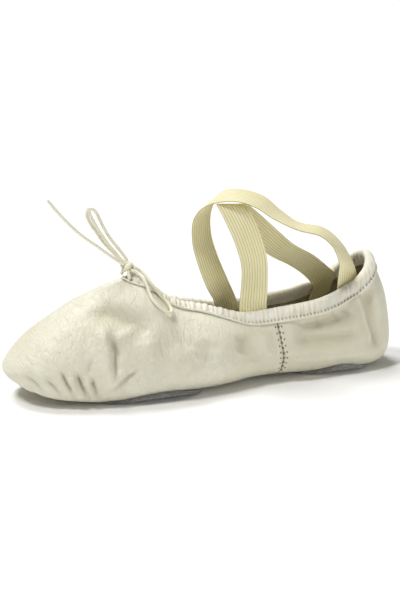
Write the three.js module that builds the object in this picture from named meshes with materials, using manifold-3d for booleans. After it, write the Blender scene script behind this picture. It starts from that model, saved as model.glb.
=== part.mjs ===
// A soft ballet slipper with a split sole, standing empty on its sole.
// Millimetres, +Z up, toe towards -X, origin on the floor under the middle of the length.

import * as THREE from 'three'
import { mergeVertices } from 'three/addons/utils/BufferGeometryUtils.js'
import Module from 'manifold-3d'

const wasm = await Module()
wasm.setup()

// The last, the foot form that the slipper is made on
const shoeLength = 235
const toeLength = 82
const heelLength = 28
const ballWidth = 82
const waistWidth = 60
const heelWidth = 56
const bellyHeight = 14
const edgeRoll = 12
const toeSpring = 7.5
const archLift = 1.2
const heelRise = 0.5
const toeRoundness = 2.5
const heelRoundness = 2.2

// The collar, an opening from the throat to the back of the heel
const throatReach = 77.5
const throatHeight = 63.6
const collarHeight = 38
const backHeight = 65
const collarWidth = 33
const backLean = 12.5
const collarRoundness = 2

// Thicknesses, and the gap between pieces that meet
const leather = 1.5
const suede = 2
const sock = 1.2
const cloth = 0.8
const elastic = 1.1
const gap = 0.3

// The gathered binding, and the fullness of the drawstring inside it
const bindingDepth = 8
const bindingPuff = 1.2
const bindingCrown = 1.3
const bindingEase = 0.2

// The sole patches, how far they reach and how far the upper laps over them
const patchLap = 6
const forefootCentre = 82
const forefootFront = 53
const forefootBack = 33
const forefootWidth = 74
const heelCentre = 196
const heelFront = 31
const heelBack = 25
const heelPatchWidth = 51
const patchRoundness = 2.3

// The insole stops short of the edge roll
const sockMargin = 1.5

// The crossed elastic straps
const strapWidth = 16.5
const strapTuck = 14
const strapFoot = 39.5
const strapRise = 66
const strapGap = 0.6
const underStrapFront = 144.5
const underStrapBack = 202.5
const overStrapFront = 137.5
const overStrapBack = 204.5

// The drawstring and its knot
const stringWidth = 1.8
const knotLong = 8.4
const knotAcross = 8.4
const knotHigh = 7.2

// How finely the forms are cut into faces
const toeSteps = 11
const sideSteps = 14
const heelSteps = 8
const wallRows = 10
const rimCrowding = 1.3
const toeCrowding = 1.35
const rollRows = 5
const floorRows = 4
const sockRows = 4
const patchRays = 56
const patchRings = [1, 0.92, 0.8, 0.5, 0]
const strapRows = 44
const stringSides = 8
const stringStep = 2.6
const knotSides = 12
const knotRings = 8

const tipX = -shoeLength / 2
const ballX = tipX + toeLength
const heelX = shoeLength / 2 - heelLength
const stackHeight = suede + gap
const throatWide = 0.26

// Height of the underside above the floor, by the place along the length.
// spring, arch and rise are shares of the toe spring, the arch lift and the heel rise.
const lifts = [
  { along: 0.00, spring: 1.00, arch: 0.00, rise: 0.0 },
  { along: 0.04, spring: 0.62, arch: 0.00, rise: 0.0 },
  { along: 0.09, spring: 0.29, arch: 0.00, rise: 0.0 },
  { along: 0.15, spring: 0.06, arch: 0.00, rise: 0.0 },
  { along: 0.20, spring: 0.00, arch: 0.00, rise: 0.0 },
  { along: 0.44, spring: 0.00, arch: 0.00, rise: 0.0 },
  { along: 0.53, spring: 0.00, arch: 0.40, rise: 0.0 },
  { along: 0.62, spring: 0.00, arch: 0.95, rise: 0.0 },
  { along: 0.67, spring: 0.00, arch: 1.00, rise: 0.0 },
  { along: 0.72, spring: 0.00, arch: 0.50, rise: 0.0 },
  { along: 0.755, spring: 0.00, arch: 0.00, rise: 0.0 },
  { along: 0.92, spring: 0.00, arch: 0.00, rise: 0.0 },
  { along: 1.00, spring: 0.00, arch: 0.00, rise: 1.0 },
]

// The way round the shoe goes from 0 at the tip of the toe by 1 at the ball and 2 at the side of the
// heel to 3 at the back of the heel, and on by the far side to 6 at the tip again.
// ball and heel are shares of how far those widths depart from the waist's.
const sides = [
  { way: 1.00, ball: 1.00, heel: 0.00 },
  { way: 1.06, ball: 1.00, heel: 0.00 },
  { way: 1.20, ball: 0.82, heel: 0.00 },
  { way: 1.35, ball: 0.41, heel: 0.00 },
  { way: 1.47, ball: 0.10, heel: 0.00 },
  { way: 1.60, ball: 0.00, heel: 0.00 },
  { way: 1.77, ball: 0.00, heel: 0.60 },
  { way: 1.94, ball: 0.00, heel: 1.00 },
  { way: 2.00, ball: 0.00, heel: 1.00 },
]

// belly is the height of the widest line, roll the width of the rounded lower edge, and full is how
// square the wall stands above the widest line: 1 is straight, 2 an ellipse.
const sections = [
  { way: 0.00, belly: 0.48, roll: 0.90, full: 1.38 },
  { way: 0.50, belly: 0.68, roll: 0.95, full: 1.50 },
  { way: 1.00, belly: 1.00, roll: 1.00, full: 1.75 },
  { way: 1.30, belly: 1.00, roll: 0.90, full: 1.60 },
  { way: 1.60, belly: 0.92, roll: 0.80, full: 1.45 },
  { way: 2.00, belly: 0.85, roll: 0.68, full: 1.40 },
  { way: 2.50, belly: 0.85, roll: 0.60, full: 1.80 },
  { way: 3.00, belly: 0.85, roll: 0.60, full: 2.20 },
]

// The collar's edge: front and back are shares of how far throat and heel stand above its lowest
// place, and wide is its share of the collar's width.
const collar = [
  { way: 0.00, front: 1.00, back: 0.000, wide: throatWide },
  { way: 0.50, front: 0.98, back: 0.000, wide: throatWide },
  { way: 0.85, front: 0.93, back: 0.000, wide: throatWide },
  { way: 1.00, front: 0.81, back: 0.000, wide: throatWide },
  { way: 1.04, front: 0.66, back: 0.000, wide: throatWide },
  { way: 1.09, front: 0.46, back: 0.000, wide: 0.27 },
  { way: 1.15, front: 0.33, back: 0.000, wide: 0.28 },
  { way: 1.24, front: 0.24, back: 0.000, wide: 0.34 },
  { way: 1.33, front: 0.13, back: 0.000, wide: 0.54 },
  { way: 1.39, front: 0.05, back: 0.000, wide: 0.70 },
  { way: 1.45, front: 0.00, back: 0.000, wide: 0.84 },
  { way: 1.60, front: 0.00, back: 0.055, wide: 0.98 },
  { way: 1.79, front: 0.00, back: 0.135, wide: 1.00 },
  { way: 1.89, front: 0.00, back: 0.255, wide: 1.00 },
  { way: 2.00, front: 0.00, back: 0.470, wide: 0.98 },
  { way: 2.30, front: 0.00, back: 0.680, wide: 0.98 },
  { way: 2.70, front: 0.00, back: 0.925, wide: 0.98 },
  { way: 3.00, front: 0.00, back: 1.000, wide: 0.98 },
]

// A smooth run through one column of a table, which never swings past its rows
function smooth(rows, key, column) {
  const steps = rows.slice(1).map((row, i) => row[key] - rows[i][key])
  const slopes = steps.map((step, i) => (rows[i + 1][column] - rows[i][column]) / step)
  const tangents = rows.map((row, i) => {
    const before = slopes[Math.max(i - 1, 0)]
    const after = slopes[Math.min(i, slopes.length - 1)]
    return before * after > 0 ? (2 * before * after) / (before + after) : 0
  })
  return (at) => {
    let i = 0
    while (i < steps.length - 1 && at > rows[i + 1][key]) {
      i += 1
    }
    const t = (at - rows[i][key]) / steps[i]
    const ease = t * t * (3 - 2 * t)
    const value = rows[i][column] + (rows[i + 1][column] - rows[i][column]) * ease
    const leaving = steps[i] * tangents[i] * t * (1 - t) ** 2
    const arriving = steps[i] * tangents[i + 1] * t ** 2 * (1 - t)
    return value + leaving - arriving
  }
}

const springShare = smooth(lifts, 'along', 'spring')
const archShare = smooth(lifts, 'along', 'arch')
const riseShare = smooth(lifts, 'along', 'rise')
const ballShare = smooth(sides, 'way', 'ball')
const heelShare = smooth(sides, 'way', 'heel')
const bellyShare = smooth(sections, 'way', 'belly')
const rollShare = smooth(sections, 'way', 'roll')
const fullness = smooth(sections, 'way', 'full')
const frontShare = smooth(collar, 'way', 'front')
const backShare = smooth(collar, 'way', 'back')
const wideShare = smooth(collar, 'way', 'wide')

// Distance from the centre of an oval to its edge, in a direction
function oval(dx, dy, long, across, power) {
  const sum = (Math.abs(dx) / long) ** power + (Math.abs(dy) / across) ** power
  return sum ** (-1 / power)
}

function lift(x) {
  const along = (x - tipX) / shoeLength
  const raised = toeSpring * springShare(along) + archLift * archShare(along) + heelRise * riseShare(along)
  return stackHeight + raised
}

// The section at a place on the way round: its spine, its direction in plan, and its sizes
function sectionAt(wayRound) {
  const way = ((wayRound % 6) + 6) % 6
  const near = way <= 3 ? way : 6 - way
  const side = way <= 3 ? -1 : 1
  let spine = ballX + (heelX - ballX) * (near - 1)
  let dx = 0
  let dy = side
  let reach = (waistWidth + (ballWidth - waistWidth) * ballShare(near)
    + (heelWidth - waistWidth) * heelShare(near)) / 2
  let edge = wideShare(near) * collarWidth / 2
  if (near < 1) {
    const turn = near * Math.PI / 2
    const aim = new THREE.Vector2(-toeLength * Math.cos(turn), side * ballWidth / 2 * Math.sin(turn)).normalize()
    spine = ballX
    dx = aim.x
    dy = aim.y
    reach = oval(dx, dy, toeLength, ballWidth / 2, toeRoundness)
    edge = oval(dx, dy, toeLength - throatReach, edge, collarRoundness)
  }
  if (near > 2) {
    const turn = (3 - near) * Math.PI / 2
    const aim = new THREE.Vector2(heelLength * Math.cos(turn), side * heelWidth / 2 * Math.sin(turn)).normalize()
    spine = heelX
    dx = aim.x
    dy = aim.y
    reach = oval(dx, dy, heelLength, heelWidth / 2, heelRoundness)
    edge = oval(dx, dy, heelLength - backLean, edge, collarRoundness)
  }
  const height = collarHeight + (throatHeight - collarHeight) * frontShare(near)
    + (backHeight - collarHeight) * backShare(near)
  const roll = edgeRoll * rollShare(near)
  return { spine, dx, dy, reach, edge, height, roll, belly: bellyHeight * bellyShare(near), full: fullness(near) }
}

// The way round at a place in plan
function wayAt(x, y) {
  let near = 1 + (x - ballX) / (heelX - ballX)
  if (x < ballX) {
    near = Math.atan2(Math.abs(y) / (ballWidth / 2), (ballX - x) / toeLength) / (Math.PI / 2)
  }
  if (x > heelX) {
    near = 3 - Math.atan2(Math.abs(y) / (heelWidth / 2), (x - heelX) / heelLength) / (Math.PI / 2)
  }
  return y <= 0 ? near : 6 - near
}

// The wall of one section, from the collar's edge down to the widest line
class Wall extends THREE.Curve {
  constructor(section) {
    super()
    this.section = section
    this.widest = lift(section.spine + section.dx * section.reach) + section.belly
    this.rimTurn = Math.acos((section.edge / section.reach) ** (section.full / 2))
    this.crown = (section.height - this.widest) / Math.sin(this.rimTurn) ** (2 / section.full)
  }

  getPoint(t) {
    const { spine, dx, dy, reach, full } = this.section
    const turn = this.rimTurn * (1 - t)
    const out = reach * Math.cos(turn) ** (2 / full)
    const up = this.widest + this.crown * Math.sin(turn) ** (2 / full)
    return new THREE.Vector3(spine + dx * out, dy * out, up)
  }
}

const walls = new Map()
function wallAt(way) {
  if (!walls.has(way)) {
    walls.set(way, new Wall(sectionAt(way)))
  }
  return walls.get(way)
}

// A place on the outside of the last. level goes from 0 at the collar's edge by 1 at the widest line
// and 2 at the inner end of the edge roll to 3 on the centre line of the underside.
function surface(way, level) {
  if (level <= 1) {
    const wall = wallAt(way)
    const inside = Math.max(level, 0)
    const above = (level - inside) * wall.getLength()
    return wall.getPointAt(inside).addScaledVector(wall.getTangentAt(inside), above)
  }
  const { spine, dx, dy, reach, roll, belly } = sectionAt(way)
  const turn = Math.max(2 - level, 0) * Math.PI / 2
  const flat = (reach - roll) * Math.min(3 - level, 1)
  const out = flat + roll * Math.sin(turn)
  const x = spine + dx * out
  return new THREE.Vector3(x, dy * out, lift(x) + belly * (1 - Math.cos(turn)))
}

// The outward direction there
function outward(way, level) {
  const small = 0.002
  if (level > 2) {
    const x = surface(way, level).x
    return new THREE.Vector3((lift(x + small) - lift(x - small)) / (2 * small), 0, -1).normalize()
  }
  const down = surface(way, level + small).sub(surface(way, level - small))
  const onward = surface(way + small, level).sub(surface(way - small, level))
  return down.cross(onward).normalize()
}

// A place off the last by a distance, out of the shoe or, below zero, into it
function off(way, level, out) {
  return surface(way, level).addScaledVector(outward(way, level), out)
}

// The same, with its place on the wall given as a length below the collar's edge
function offWall(way, below, out) {
  return off(way, below / wallAt(way).getLength(), out)
}

// Height of the underside at a place in plan, and a place off it by a distance
function underside(x, y) {
  const { spine, reach, roll, belly } = sectionAt(wayAt(x, y))
  const over = Math.min(Math.max(Math.hypot(x - spine, y) - (reach - roll), 0) / roll, 1)
  return lift(x) + belly * (1 - Math.sqrt(1 - over * over))
}

function offUnderside(x, y, out) {
  const small = 0.01
  const slopeX = (underside(x + small, y) - underside(x - small, y)) / (2 * small)
  const slopeY = (underside(x, y + small) - underside(x, y - small)) / (2 * small)
  const normal = new THREE.Vector3(slopeX, slopeY, -1).normalize()
  return new THREE.Vector3(x, y, underside(x, y)).addScaledVector(normal, out)
}

// Closed geometry from points and faces, with shared points merged and empty faces dropped
function closed(points, faces) {
  const geometry = new THREE.BufferGeometry().setFromPoints(points)
  geometry.setIndex(faces)
  const merged = mergeVertices(geometry, 0.001)
  const index = Array.from(merged.index.array)
  const kept = []
  for (let i = 0; i < index.length; i += 3) {
    const [a, b, c] = index.slice(i, i + 3)
    if (a !== b && b !== c && c !== a) {
      kept.push(a, b, c)
    }
  }
  merged.setIndex(kept)
  return merged
}

function addQuad(faces, a, b, c, d) {
  faces.push(a, b, c, a, c, d)
}

// The same four corners, split along the other diagonal
function addTurnedQuad(faces, a, b, c, d) {
  addQuad(faces, b, c, d, a)
}

// A closed plate between two skins that run inwards from an open edge to a shared middle. Its near
// half is split into triangles as the mirror of its far half.
function plate(ways, levels, outer, inner) {
  const points = []
  const faces = []
  for (const skin of [outer, inner]) {
    for (const way of ways) {
      for (const level of levels) {
        points.push(skin(way, level))
      }
    }
  }
  const at = (layer, i, j) => (layer * ways.length + (i % ways.length)) * levels.length + j
  for (let i = 0; i < ways.length; i += 1) {
    const add = i < ways.length / 2 ? addTurnedQuad : addQuad
    add(faces, at(0, i, 0), at(0, i + 1, 0), at(1, i + 1, 0), at(1, i, 0))
    for (let j = 0; j < levels.length - 1; j += 1) {
      add(faces, at(0, i, j), at(0, i, j + 1), at(0, i + 1, j + 1), at(0, i + 1, j))
      add(faces, at(1, i, j), at(1, i + 1, j), at(1, i + 1, j + 1), at(1, i, j + 1))
    }
  }
  return closed(points, faces)
}

// A closed form through a row of like loops, either a ring or a length with two flat ends
function loft(loops, isRing) {
  const size = loops[0].length
  const points = loops.flat()
  const faces = []
  const spans = isRing ? loops.length : loops.length - 1
  for (let i = 0; i < spans; i += 1) {
    const add = isRing && i < spans / 2 ? addTurnedQuad : addQuad
    const here = i * size
    const next = ((i + 1) % loops.length) * size
    for (let k = 0; k < size; k += 1) {
      const after = (k + 1) % size
      add(faces, here + k, next + k, next + after, here + after)
    }
  }
  if (!isRing) {
    const last = (loops.length - 1) * size
    for (let k = 0; k < size / 2 - 1; k += 1) {
      addQuad(faces, k, k + 1, size - 2 - k, size - 1 - k)
      addQuad(faces, last + k, last + size - 1 - k, last + size - 2 - k, last + k + 1)
    }
  }
  return closed(points, faces)
}

function toSolid(geometry) {
  const bare = geometry.clone()
  bare.deleteAttribute('normal')
  bare.deleteAttribute('uv')
  const merged = mergeVertices(bare, 0.001)
  return new wasm.Manifold(new wasm.Mesh({
    numProp: 3,
    vertProperties: new Float32Array(merged.attributes.position.array),
    triVerts: new Uint32Array(merged.index.array),
  }))
}

function fromSolid(solid) {
  const mesh = solid.getMesh()
  const geometry = new THREE.BufferGeometry()
  geometry.setAttribute('position', new THREE.BufferAttribute(mesh.vertProperties, 3))
  geometry.setIndex(new THREE.BufferAttribute(mesh.triVerts, 1))
  return geometry
}

const slipper = new THREE.Group()

function addPiece(name, geometry, color, roughness) {
  geometry.computeVertexNormals()
  const material = new THREE.MeshStandardMaterial({ color, roughness, metalness: 0 })
  const mesh = new THREE.Mesh(geometry, material)
  mesh.name = name
  slipper.add(mesh)
}

// Every section's place on the way round, from the tip by the near side and back by the far side
function waysRound() {
  const near = []
  for (let i = 0; i < toeSteps; i += 1) {
    near.push(1 - (1 - i / toeSteps) ** toeCrowding)
  }
  for (let i = 0; i < sideSteps; i += 1) {
    near.push(1 + i / sideSteps)
  }
  for (let i = 0; i < heelSteps; i += 1) {
    near.push(2 + i / heelSteps)
  }
  const far = near.slice(1).reverse().map((way) => 6 - way)
  return [...near, 3, ...far]
}

function evenly(count, from, to) {
  return Array.from({ length: count }, (unused, i) => from + (to - from) * i / count)
}

// The outline of a sole patch in plan, as the distance from its centre in a direction
const patches = {
  forefoot: { centre: tipX + forefootCentre, front: forefootFront, back: forefootBack, across: forefootWidth / 2 },
  heel: { centre: tipX + heelCentre, front: heelFront, back: heelBack, across: heelPatchWidth / 2 },
}

function patchEdge(patch, turn, inset) {
  const long = (Math.cos(turn) > 0 ? patch.back : patch.front) - inset
  const across = patch.across - inset
  const aim = new THREE.Vector2(long * Math.cos(turn), across * Math.sin(turn)).normalize()
  return aim.multiplyScalar(oval(aim.x, aim.y, long, across, patchRoundness))
}

// A suede patch under the sole, hugging the underside
function solePatch(patch) {
  const turns = evenly(patchRays, Math.PI, 3 * Math.PI)
  const skin = (out) => (turn, ring) => {
    const edge = patchEdge(patch, turn, 0).multiplyScalar(ring)
    return offUnderside(patch.centre + edge.x, edge.y, out)
  }
  return plate(turns, patchRings, skin(stackHeight), skin(gap))
}

// What is cut out of the upper's underside above a patch
function patchOpening(patch) {
  const turns = evenly(patchRays, 0, 2 * Math.PI)
  const outline = new THREE.Shape(turns.map((turn) => patchEdge(patch, turn, patchLap)))
  const depth = stackHeight + toeSpring
  const geometry = new THREE.ExtrudeGeometry(outline, { depth, bevelEnabled: false })
  return geometry.translate(patch.centre, 0, 0)
}

// The upper, one shell of leather with the collar open and two openings underneath
function upper() {
  const levels = [
    ...evenly(wallRows, 0, 1).map((level) => level ** rimCrowding),
    ...evenly(rollRows, 1, 2),
    ...evenly(floorRows, 2, 3),
    3,
  ]
  const outer = (way, level) => surface(way, level)
  const inner = (way, level) => off(way, level, -leather)
  let solid = toSolid(plate(waysRound(), levels, outer, inner))
  for (const patch of Object.values(patches)) {
    solid = solid.subtract(toSolid(patchOpening(patch)))
  }
  return fromSolid(solid)
}

// The sock that lines the floor of the shoe
function insole() {
  const skin = (inset) => (way, share) => {
    const { spine, dx, dy, reach, roll } = sectionAt(way)
    const out = (reach - roll - sockMargin) * share
    return offUnderside(spine + dx * out, dy * out, -inset)
  }
  const shares = [...evenly(sockRows, 1, 0), 0]
  const low = leather + gap
  return plate(waysRound(), shares, skin(low), skin(low + sock))
}

// The gathered binding folded over the collar's edge, fuller where the drawstring runs
function collarBinding() {
  const inside = -leather - gap
  const profile = [
    { below: bindingDepth, out: gap + bindingEase },
    { below: bindingDepth, out: gap + bindingEase + cloth },
    { below: bindingDepth * 0.55, out: gap + cloth + bindingPuff },
    { below: bindingDepth * 0.1, out: gap + cloth + bindingPuff },
    { below: -gap - bindingCrown, out: 0 },
    { below: -gap - bindingCrown, out: -leather },
    { below: 0, out: inside - cloth },
    { below: bindingDepth, out: inside - cloth },
    { below: bindingDepth, out: inside },
    { below: -gap, out: inside },
    { below: -gap, out: gap },
    { below: bindingDepth / 2, out: gap + bindingEase },
  ]
  const loops = waysRound().map((way) => profile.map(({ below, out }) => offWall(way, below, out)))
  return loft(loops, true)
}

// A strap's free stretch is given by its centre line. along is a share of the shoe's length from the
// tip, across a share of half the collar's width towards the far side, and up a share of the straps'
// rise above their foot. wide is the direction of its width.
const underStrap = {
  start: { side: 1, reach: underStrapFront },
  free: [
    { along: 0.615, across: -0.67, up: 0.04, wide: [-1.0, 0.14, 0.0] },
    { along: 0.617, across: -0.69, up: 0.17, wide: [-1.0, 0.1, -0.1] },
    { along: 0.616, across: -0.72, up: 0.42, wide: [-0.96, 0.0, -0.2] },
    { along: 0.601, across: -0.55, up: 0.65, wide: [-0.94, 0.0, -0.28] },
    { along: 0.583, across: -0.34, up: 0.825, wide: [-0.92, 0.1, -0.15] },
    { along: 0.575, across: -0.02, up: 0.905, wide: [-0.9, 0.2, 0.05] },
    { along: 0.593, across: 0.24, up: 0.87, wide: [-0.85, 0.35, -0.15] },
    { along: 0.632, across: 0.38, up: 0.74, wide: [-0.75, 0.45, -0.42] },
    { along: 0.684, across: 0.48, up: 0.575, wide: [-0.66, 0.5, -0.52] },
    { along: 0.735, across: 0.60, up: 0.43, wide: [-0.66, 0.55, -0.45] },
    { along: 0.790, across: 0.68, up: 0.32, wide: [-0.75, 0.45, -0.35] },
    { along: 0.835, across: 0.72, up: 0.20, wide: [-0.92, 0.2, -0.2] },
  ],
  end: { side: -1, reach: underStrapBack },
  turn: -1,
}

const overStrap = {
  start: { side: -1, reach: overStrapFront },
  free: [
    { along: 0.578, across: 0.57, up: 0.04, wide: [0.95, 0.28, 0.0] },
    { along: 0.558, across: 0.60, up: 0.19, wide: [0.95, 0.28, 0.12] },
    { along: 0.542, across: 0.86, up: 0.38, wide: [0.92, 0.36, 0.15] },
    { along: 0.531, across: 1.06, up: 0.58, wide: [0.9, 0.42, 0.16] },
    { along: 0.530, across: 0.94, up: 0.79, wide: [0.86, 0.48, 0.16] },
    { along: 0.550, across: 0.52, up: 0.945, wide: [0.74, 0.6, 0.3] },
    { along: 0.592, across: 0.00, up: 0.985, wide: [0.52, 0.75, 0.25] },
    { along: 0.639, across: -0.36, up: 0.935, wide: [0.62, 0.72, 0.24] },
    { along: 0.682, across: -0.62, up: 0.815, wide: [0.62, 0.75, 0.12] },
    { along: 0.729, across: -0.86, up: 0.715, wide: [0.46, 0.88, 0.08] },
    { along: 0.785, across: -1.04, up: 0.66, wide: [0.54, 0.83, 0.1] },
    { along: 0.826, across: -1.06, up: 0.54, wide: [0.67, 0.74, 0.0] },
    { along: 0.857, across: -0.92, up: 0.37, wide: [0.8, 0.58, -0.1] },
    { along: 0.870, across: -0.74, up: 0.23, wide: [0.9, 0.35, -0.1] },
  ],
  end: { side: 1, reach: overStrapBack },
  turn: 1,
}

// The two tucked ends lie inside the binding's inner leg
function tuckedPoint(end, offset, below, turn) {
  const x = tipX + end.reach + turn * offset * strapWidth / 2
  const near = 1 + (x - ballX) / (heelX - ballX)
  const way = end.side > 0 ? near : 6 - near
  return offWall(way, below, -leather - gap - cloth - strapGap - elastic / 2)
}

function freePoint(row, offset) {
  const centre = new THREE.Vector3(
    tipX + row.along * shoeLength,
    row.across * collarWidth / 2,
    strapFoot + row.up * strapRise,
  )
  const wide = new THREE.Vector3(...row.wide).normalize()
  return centre.addScaledVector(wide, offset * strapWidth / 2)
}

function strap({ start, free, end, turn }) {
  const tucks = [1, 0.5, 0]
  const columns = [-1, 0, 1].map((offset) => {
    const points = [
      ...tucks.map((share) => tuckedPoint(start, offset, share * strapTuck, turn)),
      ...free.map((row) => freePoint(row, offset)),
      ...tucks.map((share) => tuckedPoint(end, offset, (1 - share) * strapTuck, turn)),
    ]
    return new THREE.CatmullRomCurve3(points, false, 'catmullrom', 0.5)
  })
  const small = 0.001
  const loops = Array.from({ length: strapRows + 1 }, (unused, i) => {
    const t = i / strapRows
    const centre = columns.map((column) => column.getPoint(t))
    const across = centre[2].clone().sub(centre[0])
    const ahead = columns[1].getPoint(Math.min(t + small, 1)).sub(columns[1].getPoint(Math.max(t - small, 0)))
    const normal = ahead.cross(across).normalize()
    const face = (share) => centre.map((point) => point.clone().addScaledVector(normal, share * elastic))
    return [...face(0.5), ...face(-0.5).reverse()]
  })
  return loft(loops, false)
}

// The drawstring's routes, chosen by hand: the knot sits on the binding at the throat, one bow loop lies
// over the near side of the vamp, and the other loop and both ends stand up towards the toe
const knotCentre = [-45.3, 0, 68.9]
const stringRoutes = {
  string_lead_near: [[-46.3, -6.3, 63.8], [-46.3, -5.1, 65.2], [-46.1, -3.7, 66.7]],
  string_lead_far: [[-46.3, 6.3, 63.8], [-46.3, 5.1, 65.2], [-46.1, 3.7, 66.7]],
  string_end_long: [
    [-48.7, -1.3, 71.4], [-55.6, -2.3, 76.2], [-62.6, -3.0, 81.6], [-68.0, -3.6, 85.6],
    [-73.6, -4.2, 90.0], [-79.4, -4.7, 95.4], [-84.9, -5.2, 101.2], [-89.2, -5.7, 106.3], [-92.9, -6.0, 110.9],
  ],
  string_end_short: [
    [-47.8, 0.6, 72.3], [-52.0, 1.4, 77.5], [-55.8, 2.0, 82.3], [-60.0, 2.6, 88.6],
    [-63.4, 3.1, 94.8], [-65.2, 3.6, 98.8], [-66.7, 4.0, 102.6],
  ],
  string_loop_near: [
    [-44.3, -4.8, 67.7], [-41.4, -5.9, 66.1], [-39.7, -9.8, 63.9], [-38.9, -13.2, 60.7],
    [-38.6, -16.6, 57.0], [-38.1, -20.6, 53.8], [-36.4, -23.6, 51.0], [-33.4, -25.0, 48.4],
    [-30.6, -25.2, 46.8], [-27.9, -22.9, 47.0], [-27.6, -18.4, 49.5], [-29.8, -15.1, 52.8],
    [-33.0, -14.0, 56.6], [-36.0, -12.4, 61.2], [-37.2, -8.3, 64.6], [-39.0, -4.5, 66.9], [-42.2, -3.7, 69.0],
  ],
  string_loop_far: [
    [-44.4, 2.8, 72.1], [-47.2, 4.6, 76.8], [-50.6, 5.6, 81.2], [-53.8, 6.6, 86.0],
    [-56.6, 7.4, 91.2], [-58.8, 8.0, 96.2], [-61.2, 8.4, 100.6], [-64.6, 8.3, 101.6],
    [-66.0, 7.6, 98.4], [-63.6, 6.6, 92.6], [-60.0, 5.7, 87.0], [-56.4, 5.0, 81.6],
    [-52.4, 4.3, 77.2], [-47.2, 3.4, 71.6],
  ],
}

function stringTube(route) {
  const path = new THREE.CatmullRomCurve3(route.map((point) => new THREE.Vector3(...point)))
  const corners = evenly(stringSides, 0, 2 * Math.PI).map((turn) => {
    return new THREE.Vector2(Math.cos(turn), Math.sin(turn)).multiplyScalar(stringWidth / 2)
  })
  const steps = Math.ceil(path.getLength() / (stringStep * stringWidth))
  return new THREE.ExtrudeGeometry(new THREE.Shape(corners), { steps, extrudePath: path, bevelEnabled: false })
}

function knot() {
  const ball = new THREE.SphereGeometry(0.5, knotSides, knotRings)
  return ball.scale(knotLong, knotAcross, knotHigh).translate(...knotCentre)
}

const leatherColor = 0xe9e5d8
const bindingColor = 0xe6e2d4
const suedeColor = 0x8b8a86
const sockColor = 0xcdc6b2
const elasticColor = 0xddd8c2
const stringColor = 0xd6d1bf

addPiece('upper', upper(), leatherColor, 0.55)
addPiece('sole_forefoot', solePatch(patches.forefoot), suedeColor, 0.95)
addPiece('sole_heel', solePatch(patches.heel), suedeColor, 0.95)
addPiece('insole', insole(), sockColor, 0.9)
addPiece('collar_binding', collarBinding(), bindingColor, 0.7)
addPiece('strap_under', strap(underStrap), elasticColor, 0.8)
addPiece('strap_over', strap(overStrap), elasticColor, 0.8)
addPiece('string_knot', knot(), stringColor, 0.8)
for (const [name, route] of Object.entries(stringRoutes)) {
  addPiece(name, stringTube(route), stringColor, 0.8)
}

export default slipper
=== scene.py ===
# %% [markdown]
# A soft ballet slipper, dressed around its imported CAD model. The first cell loads that model as a fixed
# frame. Its solids stay where they are, and each piece made below stands for one of them or lies on one.

# %% Load the frame
import math

import bpy
import numpy as np
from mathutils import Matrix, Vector, noise


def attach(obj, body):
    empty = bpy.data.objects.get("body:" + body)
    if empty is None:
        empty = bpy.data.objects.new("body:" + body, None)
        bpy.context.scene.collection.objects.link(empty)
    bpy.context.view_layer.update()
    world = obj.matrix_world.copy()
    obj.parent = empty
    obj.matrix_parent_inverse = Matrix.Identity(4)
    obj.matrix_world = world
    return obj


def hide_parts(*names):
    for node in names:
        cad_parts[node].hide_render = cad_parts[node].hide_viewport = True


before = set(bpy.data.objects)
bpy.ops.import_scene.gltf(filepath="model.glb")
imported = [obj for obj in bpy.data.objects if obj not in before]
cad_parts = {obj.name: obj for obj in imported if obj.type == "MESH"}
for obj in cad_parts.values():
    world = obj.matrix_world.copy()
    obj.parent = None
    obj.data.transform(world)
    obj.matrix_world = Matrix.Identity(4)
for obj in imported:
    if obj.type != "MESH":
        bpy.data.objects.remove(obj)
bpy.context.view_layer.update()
MM = 0.001

# %% [markdown]
# The camera stands a metre away on the near side, a little towards the toe and above the shoe, and looks
# slightly over the vamp, so that the shoe fills the width of an upright picture with its drawstring free.
# A wide lens from nearby could frame it too, but would swell the toe, so a long lens is used from far off.

# %% Set up the camera
VIEW_AZIMUTH = math.radians(-23.0)
VIEW_ELEVATION = math.radians(16.5)
VIEW_DISTANCE = 1.0
AIM = Vector((-0.0012, 0.0, 0.0455))
back = Vector((
    math.sin(VIEW_AZIMUTH) * math.cos(VIEW_ELEVATION),
    -math.cos(VIEW_AZIMUTH) * math.cos(VIEW_ELEVATION),
    math.sin(VIEW_ELEVATION),
))
camera_data = bpy.data.cameras.new("camera")
camera_data.lens = 103.7
camera_data.sensor_width = 36.0
camera = bpy.data.objects.new("camera", camera_data)
bpy.context.scene.collection.objects.link(camera)
camera.location = back * VIEW_DISTANCE
camera.rotation_mode = "QUATERNION"
camera.rotation_quaternion = (AIM - camera.location).to_track_quat("-Z", "Y")
camera_data.clip_start, camera_data.clip_end = 0.01, 10.0
bpy.context.scene.camera = camera
print("camera at", [round(x, 3) for x in camera.location])

# %% [markdown]
# Every soft piece here is a sheet laid on a form, as leather is on a last. It could be sculpted, but then it
# would not come out the same twice. So a grid primitive gives the sheet with its own UV map, and its points
# are set on their places. Rows or columns that meet are merged, and the piece closes into one skin. The
# UV map is in millimetres, so that weaves and stitches keep their real size.

# %% Lay a grid on places
def deselect_all():
    if bpy.context.object and bpy.context.object.mode != "OBJECT":
        bpy.ops.object.mode_set(mode="OBJECT")
    bpy.ops.object.select_all(action="DESELECT")


def signed_volume(mesh):
    """Above zero when the faces of a closed mesh point outwards."""
    mesh.calc_loop_triangles()
    count = len(mesh.vertices)
    places = np.zeros(count * 3)
    mesh.vertices.foreach_get("co", places)
    corners = np.zeros(len(mesh.loop_triangles) * 3, np.int32)
    mesh.loop_triangles.foreach_get("vertices", corners)
    a, b, c = places.reshape(-1, 3)[corners.reshape(-1, 3)].transpose(1, 0, 2)
    return float((a * np.cross(b, c)).sum() / 6)


MERGE = 0.004


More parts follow.
